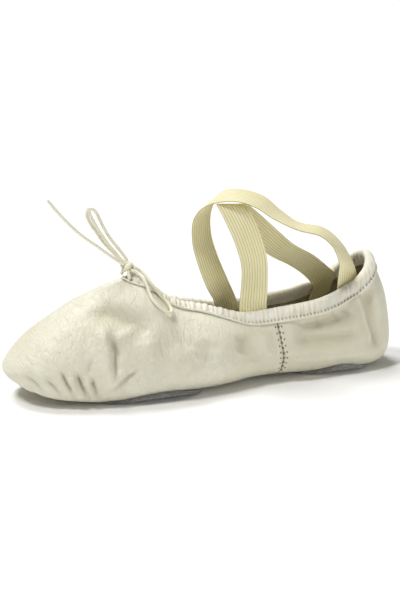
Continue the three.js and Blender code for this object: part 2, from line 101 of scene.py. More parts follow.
def laid_sheet(name, places, values=None):
    """A grid whose rows and columns lie on places, an array of rows, columns and x, y, z in mm."""
    rows, columns = places.shape[:2]
    deselect_all()
    bpy.ops.mesh.primitive_grid_add(x_subdivisions=columns - 1, y_subdivisions=rows - 1, size=1)
    piece = bpy.context.object
    piece.name = piece.data.name = name
    mesh = piece.data
    mesh.vertices.foreach_set("co", (places * MM).astype(np.float32).ravel())
    down = np.linalg.norm(np.diff(places, axis=0), axis=2).cumsum(axis=0)
    across = np.linalg.norm(np.diff(places, axis=1), axis=2).cumsum(axis=1)
    uv = np.zeros((rows, columns, 2))
    uv[1:, :, 1] = down
    uv[:, 1:, 0] = across.mean(axis=0)
    corners = np.zeros(len(mesh.loops), np.int32)
    mesh.loops.foreach_get("vertex_index", corners)
    mesh.uv_layers.active.data.foreach_set("uv", uv.reshape(-1, 2)[corners].astype(np.float32).ravel())
    for key, numbers in (values or {}).items():
        made = mesh.attributes.new(key, "FLOAT", "POINT")
        made.data.foreach_set("value", numbers.astype(np.float32).ravel())
    bpy.ops.object.mode_set(mode="EDIT")
    bpy.ops.mesh.select_all(action="SELECT")
    bpy.ops.mesh.remove_doubles(threshold=MERGE * MM)
    bpy.ops.mesh.dissolve_degenerate(threshold=MERGE * MM)
    bpy.ops.object.mode_set(mode="OBJECT")
    if signed_volume(mesh) < 0:
        bpy.ops.object.mode_set(mode="EDIT")
        bpy.ops.mesh.flip_normals()
        bpy.ops.object.mode_set(mode="OBJECT")
    bpy.ops.object.shade_smooth()
    print(name, "faces:", len(mesh.polygons))
    return piece


def belongs(piece, slot, *nodes):
    """Puts the piece on the one body and hides the CAD nodes that it stands for; the name of its finish is
    not used.
    """
    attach(piece, "root")
    if nodes:
        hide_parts(*nodes)
    return piece


print("rows and columns merge within", MERGE, "mm")

# %% [markdown]
# The drawstring is tied in a small bow at the throat. Its two ends and one loop are stiff enough to stand
# up, and the other loop lies on the near side. Each is one cord with the route of its CAD solid, so a tube
# is run along a smooth curve through the same points. A bevelled curve object could give the tube as well,
# but its twist and its ends are harder to hold. The cords come first, because their lengths are checked
# against the camera's view.

# %% Curves through points
def normalized(vectors):
    return vectors / np.linalg.norm(vectors, axis=-1, keepdims=True)


def run_along(line):
    """How far along the line each of its points lies."""
    return np.concatenate([[0], np.linalg.norm(np.diff(line, axis=0), axis=1).cumsum()])


def through(points, count, centripetal=False):
    """Places evenly spread in step number along a smooth curve through the points."""
    points = np.array(points, float)
    before, after = 2 * points[0] - points[1], 2 * points[-1] - points[-2]
    held = np.vstack([before, points, after])
    t = np.linspace(0, len(points) - 1, count)
    i = np.minimum(t.astype(int), len(points) - 2)
    u = (t - i)[:, None]
    p0, p1, p2, p3 = held[i], held[i + 1], held[i + 2], held[i + 3]
    if not centripetal:
        leave, arrive = (p2 - p0) / 2, (p3 - p1) / 2
    else:
        d0, d1, d2 = (np.maximum(np.linalg.norm(b - a, axis=1)[:, None], 1e-6) ** 0.5
                      for a, b in ((p0, p1), (p1, p2), (p2, p3)))
        leave = ((p1 - p0) / d0 - (p2 - p0) / (d0 + d1) + (p2 - p1) / d1) * d1
        arrive = ((p2 - p1) / d1 - (p3 - p1) / (d1 + d2) + (p3 - p2) / d2) * d1
    ease = u * u * (3 - 2 * u)
    return p1 + (p2 - p1) * ease + leave * u * (1 - u) ** 2 - arrive * u * u * (1 - u)


def even_steps(line, step):
    """The same line with its points an even distance apart."""
    run = run_along(line)
    at = np.linspace(0, run[-1], max(int(run[-1] / step), 2) + 1)
    return np.stack([np.interp(at, run, line[:, k]) for k in range(3)], axis=1), run[-1]


def frames_along(line):
    """Two directions across a line at each point, which don't twist along it."""
    ahead = normalized(np.gradient(line, axis=0))
    sides = [normalized(np.cross(ahead[0], (0.0, 0.0, 1.0)))]
    for k in range(1, len(line)):
        sides.append(normalized(sides[-1] - ahead[k] * (sides[-1] @ ahead[k])))
    sides = np.array(sides)
    return sides, np.cross(ahead, sides), ahead


DOME = 0.6


def tube(name, line, radius, around=14):
    """A closed round tube along a line, domed at its ends."""
    side, up, ahead = frames_along(line)
    reach = np.array([0.0, 0.5, 0.87])
    lean = np.array([1.0, 0.87, 0.5])[:, None] * radius * DOME
    centres = np.vstack([line[0] - ahead[0] * lean, line, line[-1] + ahead[-1] * lean[::-1]])
    widths = np.concatenate([reach, np.ones(len(line)), reach[::-1]]) * radius
    side = np.vstack([side[:1]] * 3 + [side] + [side[-1:]] * 3)
    up = np.vstack([up[:1]] * 3 + [up] + [up[-1:]] * 3)
    turn = np.linspace(0, 2 * np.pi, around + 1)
    ring = side[:, None] * np.cos(turn)[None, :, None] + up[:, None] * np.sin(turn)[None, :, None]
    return laid_sheet(name, centres[:, None] + ring * widths[:, None, None])


# %% [markdown]
# The routes are short lists of points in millimetres, because a tied string follows no
# formula. They are the ones that the CAD model has. Each end starts where it leaves the casing.

# %% The drawstring's routes
STRING_WIDTH = 1.8
KNOT_CENTRE = (-45.3, 0.0, 68.9)
LEAD_NEAR = [(-46.3, -6.3, 63.8), (-46.3, -5.1, 65.2), (-46.1, -3.7, 66.7)]
LEAD_FAR = [(x, -y, z) for x, y, z in LEAD_NEAR]
END_LONG = [
    (-48.7, -1.3, 71.4), (-55.6, -2.3, 76.2), (-62.6, -3, 81.6), (-68, -3.6, 85.6), (-73.6, -4.2, 90),
    (-79.4, -4.7, 95.4), (-84.9, -5.2, 101.2), (-89.2, -5.7, 106.3), (-92.9, -6, 110.9),
]
END_SHORT = [
    (-47.8, 0.6, 72.3), (-52, 1.4, 77.5), (-55.8, 2, 82.3), (-60, 2.6, 88.6), (-63.4, 3.1, 94.8),
    (-65.2, 3.6, 98.8), (-66.7, 4, 102.6),
]
LOOP_NEAR = [
    (-44.3, -4.8, 67.7), (-41.4, -5.9, 66.1), (-39.7, -9.8, 63.9), (-38.9, -13.2, 60.7), (-38.6, -16.6, 57),
    (-38.1, -20.6, 53.8), (-36.4, -23.6, 51), (-33.4, -25, 48.4), (-30.6, -25.2, 46.8), (-27.9, -22.9, 47),
    (-27.6, -18.4, 49.5), (-29.8, -15.1, 52.8), (-33, -14, 56.6), (-36, -12.4, 61.2), (-37.2, -8.3, 64.6),
    (-39, -4.5, 66.9), (-42.2, -3.7, 69),
]
LOOP_FAR = [
    (-44.4, 2.8, 72.1), (-47.2, 4.6, 76.8), (-50.6, 5.6, 81.2), (-53.8, 6.6, 86), (-56.6, 7.4, 91.2),
    (-58.8, 8, 96.2), (-61.2, 8.4, 100.6), (-64.6, 8.3, 101.6), (-66, 7.6, 98.4), (-63.6, 6.6, 92.6),
    (-60, 5.7, 87), (-56.4, 5, 81.6), (-52.4, 4.3, 77.2), (-47.2, 3.4, 71.6),
]
INTO_KNOT_NEAR = [(-45.2, -2, 68), (-44.4, -0.2, 69.4), (-46, -0.2, 70.5)]
INTO_KNOT_FAR = [(-45.2, 2, 68), (-44.2, 0.7, 69.6), (-45.7, 0.4, 70.9)]

# %% [markdown]
# The knot is the crossing of both strings pulled tight. It could be a ball, but the strands show, so a
# strand is run round a small closed three-lobed path that fills the same space as the solid.

# %% Make the knot and the cords
KNOT_SWING = 0.42
KNOT_STRAND = STRING_WIDTH * 0.76
KNOT_TURNS = 3
KNOT_RADII = (2.05, 2.05, 1.6)
turn = np.linspace(0, 2 * np.pi, 121)
swing = 1 + KNOT_SWING * np.cos(KNOT_TURNS * turn)
knot_line = np.stack([
    KNOT_CENTRE[0] + KNOT_RADII[0] * np.cos(2 * turn) * swing,
    KNOT_CENTRE[1] + KNOT_RADII[1] * np.sin(2 * turn) * swing,
    KNOT_CENTRE[2] + KNOT_RADII[2] * np.sin(KNOT_TURNS * turn),
], axis=1)
knot_piece = belongs(tube("bow_knot", knot_line, KNOT_STRAND), "string", "string_knot")


def string_piece(name, route, stands_for):
    line, length = even_steps(through(route, 24 * len(route), centripetal=True), 0.9)
    piece = belongs(tube(name, line, STRING_WIDTH / 2), "string", *stands_for)
    print(name, "length in mm:", round(length, 1))
    return piece


string_pieces = [
    string_piece("string_long", LEAD_NEAR + INTO_KNOT_NEAR + END_LONG,
                 ("string_lead_near", "string_end_long")),
    string_piece("string_short", LEAD_FAR + INTO_KNOT_FAR + END_SHORT,
                 ("string_lead_far", "string_end_short")),
    string_piece("bow_loop_near", LOOP_NEAR, ("string_loop_near",)),
    string_piece("bow_loop_far", LOOP_FAR, ("string_loop_far",)),
    knot_piece,
]

# %% [markdown]
# The slipper is sewn on a last, and the CAD solids follow that last. The same last is needed here, so that
# every dressed piece lies where its solid is. It could be read off the solids' meshes, but their faces are
# too coarse for folds. So it is written again as a few sizes and tables, with a smooth run through each
# column. All lengths are in millimetres.

# %% Sizes of the last
LENGTH, TOE, HEEL = 235.0, 82.0, 28.0
BALL_WIDTH, WAIST_WIDTH, HEEL_WIDTH = 82.0, 60.0, 56.0
BELLY, ROLL = 14.0, 12.0
TOE_SPRING, ARCH_LIFT, HEEL_RISE = 7.5, 1.2, 0.5
TOE_POWER, HEEL_POWER, COLLAR_POWER, PATCH_POWER = 2.5, 2.2, 2.0, 2.3
THROAT_REACH, THROAT_HEIGHT, COLLAR_HEIGHT, BACK_HEIGHT = 77.5, 63.6, 38.0, 65.0
COLLAR_WIDTH, THROAT_WIDE, BACK_LEAN = 33.0, 0.26, 12.5
LEATHER, SUEDE, SOCK, CLOTH, ELASTIC, GAP = 1.5, 2.0, 1.2, 0.8, 1.1, 0.3
TIP_X, BALL_X, HEEL_X = -LENGTH / 2, -LENGTH / 2 + TOE, LENGTH / 2 - HEEL
STACK = SUEDE + GAP
print("last from", TIP_X, "to", TIP_X + LENGTH, "mm, stack under the floor", STACK)


def table(names, *rows):
    return dict(zip(names.split(), np.array(rows, float).T))


lifts = table(
    "along spring arch rise",
    (0, 1, 0, 0), (0.04, 0.62, 0, 0), (0.09, 0.29, 0, 0), (0.15, 0.06, 0, 0),
    (0.2, 0, 0, 0), (0.44, 0, 0, 0), (0.53, 0, 0.4, 0), (0.62, 0, 0.95, 0),
    (0.67, 0, 1, 0), (0.72, 0, 0.5, 0), (0.755, 0, 0, 0), (0.92, 0, 0, 0),
    (1, 0, 0, 1),
)
sides = table(
    "way ball heel",
    (1, 1, 0), (1.06, 1, 0), (1.2, 0.82, 0), (1.35, 0.41, 0), (1.47, 0.1, 0),
    (1.6, 0, 0), (1.77, 0, 0.6), (1.94, 0, 1), (2, 0, 1),
)
sections = table(
    "way belly roll full",
    (0, 0.48, 0.9, 1.38), (0.5, 0.68, 0.95, 1.5), (1, 1, 1, 1.75), (1.3, 1, 0.9, 1.6),
    (1.6, 0.92, 0.8, 1.45), (2, 0.85, 0.68, 1.4), (2.5, 0.85, 0.6, 1.8), (3, 0.85, 0.6, 2.2),
)
collar = table(
    "way front back wide",
    (0, 1, 0, THROAT_WIDE), (0.5, 0.98, 0, THROAT_WIDE), (0.85, 0.93, 0, THROAT_WIDE),
    (1, 0.81, 0, THROAT_WIDE), (1.04, 0.66, 0, THROAT_WIDE), (1.09, 0.46, 0, 0.27),
    (1.15, 0.33, 0, 0.28), (1.24, 0.24, 0, 0.34), (1.33, 0.13, 0, 0.54), (1.39, 0.05, 0, 0.7),
    (1.45, 0, 0, 0.84), (1.6, 0, 0.055, 0.98), (1.79, 0, 0.135, 1), (1.89, 0, 0.255, 1),
    (2, 0, 0.47, 0.98), (2.3, 0, 0.68, 0.98), (2.7, 0, 0.925, 0.98), (3, 0, 1, 0.98),
)


# %% [markdown]
# A place on the last is given by two numbers. The way goes round the shoe: 0 at the tip of the toe, 1 at the
# ball, 2 where the heel starts and 3 at the back, on the near side, and on round the far side to 6. The level
# goes down the wall and in under the floor. Functions turn both into millimetres, so a sheet can be
# as fine as it has to be and still lie on the solid.

# %% The last as functions
def smooth(rows, key, column):
    keys, values = rows[key], rows[column]
    steps = np.diff(keys)
    slopes = np.diff(values) / steps
    before = np.concatenate([slopes[:1], slopes])
    after = np.concatenate([slopes, slopes[-1:]])
    alike = before * after > 0
    tangents = np.where(alike, 2 * before * after / np.where(alike, before + after, 1), 0)

    def at(x):
        x = np.asarray(x, float)
        i = np.clip(np.searchsorted(keys, x, side="left") - 1, 0, len(steps) - 1)
        t = (x - keys[i]) / steps[i]
        value = values[i] + (values[i + 1] - values[i]) * t * t * (3 - 2 * t)
        return value + steps[i] * (tangents[i] * t * (1 - t) ** 2 - tangents[i + 1] * t ** 2 * (1 - t))

    return at


spring_share, arch_share, rise_share = (smooth(lifts, "along", k) for k in ("spring", "arch", "rise"))
ball_share, heel_share = (smooth(sides, "way", k) for k in ("ball", "heel"))
belly_share, roll_share, fullness = (smooth(sections, "way", k) for k in ("belly", "roll", "full"))
front_share, back_share, wide_share = (smooth(collar, "way", k) for k in ("front", "back", "wide"))


def oval(dx, dy, long, across, power):
    return ((np.abs(dx) / long) ** power + (np.abs(dy) / across) ** power) ** (-1 / power)


def lift(x):
    along = (np.asarray(x) - TIP_X) / LENGTH
    return (STACK + TOE_SPRING * spring_share(along) + ARCH_LIFT * arch_share(along)
            + HEEL_RISE * rise_share(along))


def unit(dx, dy):
    size = np.hypot(dx, dy)
    return dx / size, dy / size


def section_at(way_round):
    """Spine, direction in plan and sizes of the section at each place on the way round."""
    way = np.mod(np.asarray(way_round, float), 6.0)
    near = np.where(way <= 3, way, 6 - way)
    side = np.where(way <= 3, -1.0, 1.0)
    on_toe, on_heel = near < 1, near > 2
    toe_turn = np.minimum(near, 1) * np.pi / 2
    toe_x, toe_y = unit(-TOE * np.cos(toe_turn), side * BALL_WIDTH / 2 * np.sin(toe_turn))
    heel_turn = (3 - np.maximum(near, 2)) * np.pi / 2
    heel_x, heel_y = unit(HEEL * np.cos(heel_turn), side * HEEL_WIDTH / 2 * np.sin(heel_turn))
    edge = wide_share(near) * COLLAR_WIDTH / 2
    side_reach = (WAIST_WIDTH + (BALL_WIDTH - WAIST_WIDTH) * ball_share(np.maximum(near, 1))
                  + (HEEL_WIDTH - WAIST_WIDTH) * heel_share(np.clip(near, 1, 2))) / 2

    def pick(toe, heel, flank):
        return np.where(on_toe, toe, np.where(on_heel, heel, flank))

    return {
        "spine": pick(BALL_X, HEEL_X, BALL_X + (HEEL_X - BALL_X) * (near - 1)),
        "dx": pick(toe_x, heel_x, 0.0),
        "dy": pick(toe_y, heel_y, side),
        "reach": pick(oval(toe_x, toe_y, TOE, BALL_WIDTH / 2, TOE_POWER),
                      oval(heel_x, heel_y, HEEL, HEEL_WIDTH / 2, HEEL_POWER), side_reach),
        "edge": pick(oval(toe_x, toe_y, TOE - THROAT_REACH, edge, COLLAR_POWER),
                     oval(heel_x, heel_y, HEEL - BACK_LEAN, edge, COLLAR_POWER), edge),
        "height": (COLLAR_HEIGHT + (THROAT_HEIGHT - COLLAR_HEIGHT) * front_share(near)
                   + (BACK_HEIGHT - COLLAR_HEIGHT) * back_share(near)),
        "roll": ROLL * roll_share(near),
        "belly": BELLY * belly_share(near),
        "full": fullness(near),
    }


WALL_STEPS = 160


def wall_curve(ways):
    """Points down the wall of each section, from the collar's edge to the widest line, and run lengths."""
    s = {k: v[:, None] for k, v in section_at(ways).items()}
    widest = lift(s["spine"] + s["dx"] * s["reach"]) + s["belly"]
    rim_turn = np.arccos((s["edge"] / s["reach"]) ** (s["full"] / 2))
    crown = (s["height"] - widest) / np.sin(rim_turn) ** (2 / s["full"])
    turn = rim_turn * (1 - np.linspace(0, 1, WALL_STEPS + 1))[None]
    out = s["reach"] * np.cos(turn) ** (2 / s["full"])
    up = widest + crown * np.sin(turn) ** (2 / s["full"])
    places = np.stack([s["spine"] + s["dx"] * out, s["dy"] * out, up], axis=2)
    run = np.zeros(places.shape[:2])
    run[:, 1:] = np.linalg.norm(np.diff(places, axis=1), axis=2).cumsum(axis=1)
    return places, run


def wall_lengths(ways):
    return wall_curve(ways)[1][:, -1:]


def surface(ways, levels):
    """Places on the last: level 0 at the collar's edge, 1 at the widest line, 2 at the end of the edge
    roll and 3 on the centre line of the underside."""
    ways = np.asarray(ways, float)
    levels = np.broadcast_to(levels, (len(ways), np.shape(levels)[-1]))
    curve, run = wall_curve(ways)
    s = {k: v[:, None] for k, v in section_at(ways).items()}
    inside = np.clip(levels, 0, 1)
    wall = np.empty(levels.shape + (3,))
    for i in range(len(ways)):
        at = inside[i] * run[i, -1]
        for k in range(3):
            wall[i, :, k] = np.interp(at, run[i], curve[i, :, k])
    start = (curve[:, 1] - curve[:, 0]) / run[:, 1:2]
    wall += start[:, None] * (np.minimum(levels, 0) * run[:, -1:])[..., None]
    turn = np.clip(2 - levels, 0, 1) * np.pi / 2
    out = (s["reach"] - s["roll"]) * np.clip(3 - levels, 0, 1) + s["roll"] * np.sin(turn)
    x = s["spine"] + s["dx"] * out
    below = np.stack([x, s["dy"] * out, lift(x) + s["belly"] * (1 - np.cos(turn))], axis=2)
    return np.where((levels <= 1)[..., None], wall, below)


def outward(ways, levels):
    small = 0.004
    levels = np.broadcast_to(levels, (len(ways), np.shape(levels)[-1]))
    down = surface(ways, levels + small) - surface(ways, levels - small)
    onward = surface(ways + small, levels) - surface(ways - small, levels)
    normal = np.cross(down, onward)
    x = surface(ways, levels)[..., 0]
    slope = (lift(x + small) - lift(x - small)) / (2 * small)
    flat = np.stack([slope, np.zeros_like(slope), -np.ones_like(slope)], axis=2)
    normal = np.where((levels >= 2)[..., None], flat, normal)
    return normalized(normal)


def way_at(x, y):
    x, y = np.asarray(x, float), np.asarray(y, float)
    near = 1 + (x - BALL_X) / (HEEL_X - BALL_X)
    toe = np.arctan2(np.abs(y) / (BALL_WIDTH / 2), (BALL_X - x) / TOE) / (np.pi / 2)
    heel = 3 - np.arctan2(np.abs(y) / (HEEL_WIDTH / 2), (x - HEEL_X) / HEEL) / (np.pi / 2)
    near = np.where(x < BALL_X, toe, np.where(x > HEEL_X, heel, near))
    return np.where(y <= 0, near, 6 - near)


def underside(x, y):
    s = section_at(way_at(x, y))
    over = np.clip((np.hypot(x - s["spine"], y) - (s["reach"] - s["roll"])) / s["roll"], 0, 1)
    return lift(x) + s["belly"] * (1 - np.sqrt(1 - over ** 2))


def off_underside(x, y, out):
    """Places at a distance off the underside, below it where out is above zero."""
    small = 0.01
    slope_x = (underside(x + small, y) - underside(x - small, y)) / (2 * small)
    slope_y = (underside(x, y + small) - underside(x, y - small)) / (2 * small)
    normal = normalized(np.stack([slope_x, slope_y, -np.ones_like(slope_x)], axis=-1))
    return np.stack([x, y, underside(x, y)], axis=-1) + normal * np.asarray(out)[..., None]


def ways_round(toe, flank, heel, extra=()):
    near = np.concatenate([np.linspace(0, 1, toe, endpoint=False), np.linspace(1, 2, flank, endpoint=False),
                           np.linspace(2, 3, heel + 1), extra])
    near = np.unique(np.round(near, 6))
    return np.concatenate([near, 6 - near[::-1][1:]])


print("tip of the toe at", surface(np.array([0.0]), np.array([1.0])).round(1).tolist())

# %% [markdown]
# Soft leather takes folds. A cloth simulation could make some, but not the ones that this shoe has. So each
# main fold is a soft trough or ridge placed along a few points, in the shoe's own millimetres: x along the
# shoe, y across it and z up. A fold has a half width and a depth into the shoe, below zero for a ridge, and
# both ends run out. Pleats round the toe are given on the way round instead, because they all run from the
# edge roll in under the toe.

# %% The folds of the upper
FOLDS = [
    # points, half width, depth
    # pleats of the toe's near side
    ([(-95.5, -28.5, 23.5), (-94, -31.2, 18), (-92.9, -32.7, 14.9), (-91.5, -33.5, 12.1),
      (-86.5, -29.5, 4.5)], 1.4, 2.2),
    ([(-91.6, -31.8, 19.5), (-90.4, -33.6, 15), (-88.5, -34.2, 11), (-85, -31, 5)], 2.1, -1.2),
    ([(-88.2, -32, 22.5), (-86.1, -34.7, 16.3), (-84.8, -35.6, 12.4), (-83, -35.1, 8.7),
      (-79.5, -31.5, 3.8)], 1.4, 2.4),
    ([(-83.6, -35, 18), (-82.4, -36.2, 13.5), (-81.2, -36.2, 10), (-78, -32.5, 4)], 2, -1.2),
    ([(-80.2, -35.5, 19.5), (-79.1, -37.3, 13.4), (-78.5, -37.1, 11), (-77.7, -36.1, 7.8),
      (-74.5, -32.5, 3.6)], 1.3, 2.2),
    ([(-103.5, -25.6, 18.6), (-102.4, -27.3, 16.7), (-100.8, -29.2, 14.3), (-98.8, -29.8, 11.9),
      (-93, -27, 5.8)], 1.5, 1.5),
    ([(-112.4, -16.4, 18.9), (-111.2, -19.4, 17.3), (-109.4, -22.7, 15.7), (-107.1, -24.1, 13.6),
      (-99.5, -23.5, 7.8)], 1.6, 1.2),
    ([(-79, -32.9, 27.4), (-80.9, -34.7, 22.4), (-82.4, -35.6, 17.2)], 1.7, 1),
    # the flex fold over the ball, a ridge with a deep crease behind it
    ([(-69.2, -22.5, 45.1), (-70.4, -29.7, 36.9), (-70.4, -35.9, 26.1), (-70.8, -38.6, 12.5)], 3.2, -2.1),
    ([(-65.4, -28, 40.5), (-65.6, -31.8, 36), (-64.9, -34.8, 30.5), (-66.4, -37, 25.4),
      (-66.9, -38.3, 20.2), (-69, -38.9, 13)], 2.45, 2.3),
    ([(-68.8, -33.4, 32), (-63.7, -32.4, 35.7), (-56.2, -30.9, 40.2), (-48.6, -29.5, 43.5),
      (-38.8, -28.6, 44.6)], 3.6, -0.9),
    ([(-52.8, -39.7, 21.7), (-57.5, -39.8, 18.9), (-62.1, -39.7, 16), (-67.1, -39.1, 11.9),
      (-71.7, -37.1, 7.9)], 1.7, 1.3),
    ([(-62, -40, 21), (-66, -39.6, 17), (-69.5, -38.8, 13)], 2.2, -0.6),
    # the hollow under the throat
    ([(-74, -9, 51.4), (-67.1, -17, 49.8), (-61, -21.8, 48.5), (-55.4, -26, 46.2), (-47.5, -30, 42.7),
      (-40.6, -32.2, 38.6)], 6.5, 2.9),
    ([(-78, -2, 50.5), (-70, -6, 54), (-62, -10, 55.8)], 6, 0.9),
    ([(-47, -34.3, 36.7), (-47.1, -37.4, 30.7), (-49.1, -39.4, 24.6)], 5, -0.8),
    ([(-31.2, -33, 36.4), (-35.7, -36.7, 32.1), (-40.1, -38.8, 26.9)], 4.5, 0.9),
    ([(-18.2, -36.1, 30), (-25.6, -39.5, 24.3), (-35, -40.6, 19.9)], 5, -0.8),
    ([(-6.8, -30.6, 30.3), (-10.2, -35.6, 25), (-9.6, -38.5, 17.6)], 4, 0.9),
    ([(14.5, -23.9, 31), (15.2, -29.2, 24.7), (12.2, -33.4, 17.3)], 6, 1.7),
    ([(29, -22.5, 31), (27.5, -27.5, 24), (28, -30.5, 15)], 4.5, -0.8),
    # the heel quarter
    ([(44, -24, 31), (59.5, -24, 31), (73.6, -24, 32), (90, -22.5, 35)], 7, 1.7),
    ([(42, -26.5, 24), (52, -26.8, 22.5), (66, -26.8, 21.5), (80, -26.8, 21.5),
      (93, -25.8, 23.5)], 4.2, 2.1),
    ([(30.4, -30.2, 18), (46.4, -29.7, 15), (58.4, -28.8, 13.3), (71.8, -28.2, 13), (84, -27.9, 12.8),
      (96, -26.5, 12.8)], 3.8, -1.9),
    ([(94.5, -16.5, 55), (96.5, -18.5, 44), (97, -21.4, 37.3), (97.7, -24.2, 27.6), (99.8, -25, 18.3),
      (101.1, -24.5, 10.8)], 4.6, 2),
    ([(88.6, -19.8, 49.5), (89.7, -20.9, 40.4), (91.4, -24, 32), (93.1, -25.8, 25.2),
      (95.3, -26.8, 15.7)], 2.7, -1.9),
    ([(78.4, -20.2, 39), (82, -22.1, 35.5), (86, -24.4, 29.9)], 1.8, 0.8),
    ([(71, -21, 39.5), (75.5, -22.3, 33.8), (77.8, -24, 29.4)], 1.8, 0.7),
    ([(62, -21.5, 37), (64, -23.3, 32.5), (65, -25, 28)], 1.8, 0.6),
    # the far side
    ([(-72, 8, 52), (-63, 18, 50), (-55, 26, 46), (-46, 31, 41)], 6.5, 2.6),
    ([(-67, 29, 39), (-67.5, 34, 32), (-68, 37.5, 24), (-70, 38.5, 15)], 1.9, 2.3),
    ([(-71, 26, 41), (-72, 33, 32), (-72.5, 37, 23), (-74, 38, 14)], 2.9, -1.3),
    ([(-55, 39.7, 22), (-62, 39.7, 16.5), (-71, 37, 8.5)], 1.8, 1.3),
    ([(-97, 29, 20), (-95, 31.5, 15.5), (-90, 31.5, 8)], 1.4, 1.8),
    ([(-88, 33.5, 19), (-85.5, 35.5, 13), (-81, 33, 5.8)], 1.4, 2),
    ([(-78.5, 36.5, 17), (-77.5, 37, 11), (-74, 34, 5)], 1.3, 1.6),
    ([(-110, 19.5, 18), (-107, 24.5, 14.5), (-100, 26, 9)], 1.6, 1.2),
    ([(-34, 33.5, 36), (-38, 37.5, 30), (-43, 39.5, 24)], 4.5, 1),
    ([(-20, 35.5, 31), (-26, 39.5, 24), (-34, 40.5, 19)], 5, -0.8),
    ([(10, 25, 31), (13, 31, 24), (10, 34.5, 16)], 6, 1.4),
    ([(50, 24, 29), (64, 25.5, 26.5), (78, 25.5, 26.5), (90, 24, 29)], 7.5, 2),
    ([(40, 29.5, 16), (60, 28.5, 13), (84, 27.2, 11)], 4.5, -0.9),
    ([(93, 18.5, 52), (95, 22, 39), (97, 25.5, 26), (98.5, 26, 12)], 3.1, 1.8),
]
TOE_PLEATS = [
    # way at the top, way at the bottom, level at the top, level at the bottom, half width, depth
    (0.06, 0.08, 1.25, 2.30, 1.4, 1.0),
    (0.16, 0.20, 1.05, 2.35, 1.4, 1.2),
    (0.27, 0.31, 1.15, 2.35, 1.3, 1.1),
    (5.93, 5.90, 1.20, 2.30, 1.4, 1.0),
    (5.83, 5.79, 1.00, 2.35, 1.4, 1.3),
    (5.73, 5.69, 1.15, 2.35, 1.3, 1.1),
]
CREASE_BELOW = 2.5
FOLD_GAIN = 1.6
SEAM_X = 37.6
SEAM_GROOVE, SEAM_WIDTH = 0.5, 0.6


def pleat_points(top_way, low_way, top, low):
    ways = np.linspace(top_way, low_way, 5)
    levels = np.linspace(top, low, 5)
    return surface(ways, levels[:, None])[:, 0]


form_ways, form_levels = ways_round(40, 60, 24), np.linspace(0.02, 2.4, 60)
form = surface(form_ways, form_levels).reshape(-1, 3)
form_out = outward(form_ways, form_levels).reshape(-1, 3)


def on_form(points):
    """The points moved straight in or out until they lie on the last."""
    points = np.array(points, float)
    for k, point in enumerate(points):
        nearest = np.argmin(((form - point) ** 2).sum(axis=1))
        points[k] -= form_out[nearest] * ((point - form[nearest]) @ form_out[nearest])
    return points


FOLD_LINES = [(through(on_form(points), 5 * len(points)), width, deep) for points, width, deep in FOLDS]
FOLD_LINES += [(through(pleat_points(*row[:4]), 16), *row[4:]) for row in TOE_PLEATS]
print("folds:", len(FOLD_LINES))


def ease(value):
    value = np.clip(value, 0, 1)
    return value * value * (3 - 2 * value)


def nearest_on(line, places):
    """How far each place is from the line, and where along it that is, from 0 to 1."""
    run = run_along(line)
    best = np.full(len(places), 1e9)
    where = np.zeros(len(places))
    for k in range(len(line) - 1):
        start, along = line[k], line[k + 1] - line[k]
        t = np.clip((places - start) @ along / (along @ along), 0, 1)
        far = np.linalg.norm(places - start - t[:, None] * along, axis=1)
        where = np.where(far < best, (run[k] + t * (run[k + 1] - run[k])) / run[-1], where)
        best = np.minimum(best, far)
    return best, where


def fold_depths(places, inside=False):
    """How far each place goes into the shoe, how deep in a narrow crease it lies and how deep in a hollow;
    the last two darken the leather's colour as painted shade.
    An inner skin has wider folds and no ridges, so it stays within the outer one."""
    depth = np.zeros(places.shape[:-1])
    crease = np.zeros_like(depth)
    hollow = np.zeros_like(depth)
    for line, width, deep in FOLD_LINES:
        narrow = width < CREASE_BELOW and deep > 0
        if inside:
            width, deep = width * (1.6 if narrow else 1.2), max(deep, 0) * (1.1 if narrow else 1.0)
        reach = width * 3.2
        hit = np.all((places > line.min(axis=0) - reach) & (places < line.max(axis=0) + reach), axis=-1)
        if not hit.any():
            continue
        best, where = nearest_on(line, places[hit])
        taper = ease(where / 0.3) * ease((1 - where) / (0.45 if narrow else 0.25))
        if narrow:
            fall = np.exp(-(np.hypot(best / width, 0.5) - 0.5) * 1.7)
        else:
            fall = np.exp(-(best / width) ** 2)
        depth[hit] += FOLD_GAIN * deep * fall * taper * ease((reach - best) / width)
        if narrow:
            core = np.exp(-(best / (0.6 * width)) ** 2) * ease((1 - where) / 0.8)
            crease[hit] = np.maximum(crease[hit], core * taper * min(deep / 2, 1))
        elif deep > 1:
            hollow[hit] = np.maximum(hollow[hit], fall * taper)
    return depth, crease, hollow


def rumple(places):
    """Shallow, slow unevenness of soft leather, in mm."""
    flat = places.reshape(-1, 3)
    slow = [noise.noise(Vector((x * 0.035, y * 0.05, z * 0.06))) for x, y, z in flat]
    quick = [noise.noise(Vector((x * 0.13 + 7, y * 0.13, z * 0.10))) for x, y, z in flat]
    return (0.55 * np.array(slow) + 0.16 * np.array(quick)).reshape(places.shape[:-1])


# %% [markdown]
# The leather upper is one shell. Its sheet starts at the middle of the floor inside, climbs the inner wall,
# turns over the collar's edge and goes down the outside to the middle of the underside, where both halves
# meet. A Solidify modifier could give the wall, but it would tear at the sharp creases, so the inner skin has
# wider and softer folds of its own. Extra columns stand at the side seams, where the groove is narrow.

# %% Make the leather upper
UPPER_LEATHER = 1.0
seam_way = 1 + (SEAM_X - BALL_X) / (HEEL_X - BALL_X)
ways = ways_round(118, 132, 56, seam_way + np.linspace(-0.02, 0.02, 17))
outer_levels = np.concatenate([
    np.linspace(0, 1, 82, endpoint=False) ** 1.1, np.linspace(1, 2, 24, endpoint=False), np.linspace(2, 3, 9),
])
inner_levels = np.concatenate([
    np.linspace(3, 2, 6, endpoint=False), np.linspace(2, 1, 9, endpoint=False), np.linspace(1, 0, 21) ** 1.1,
])


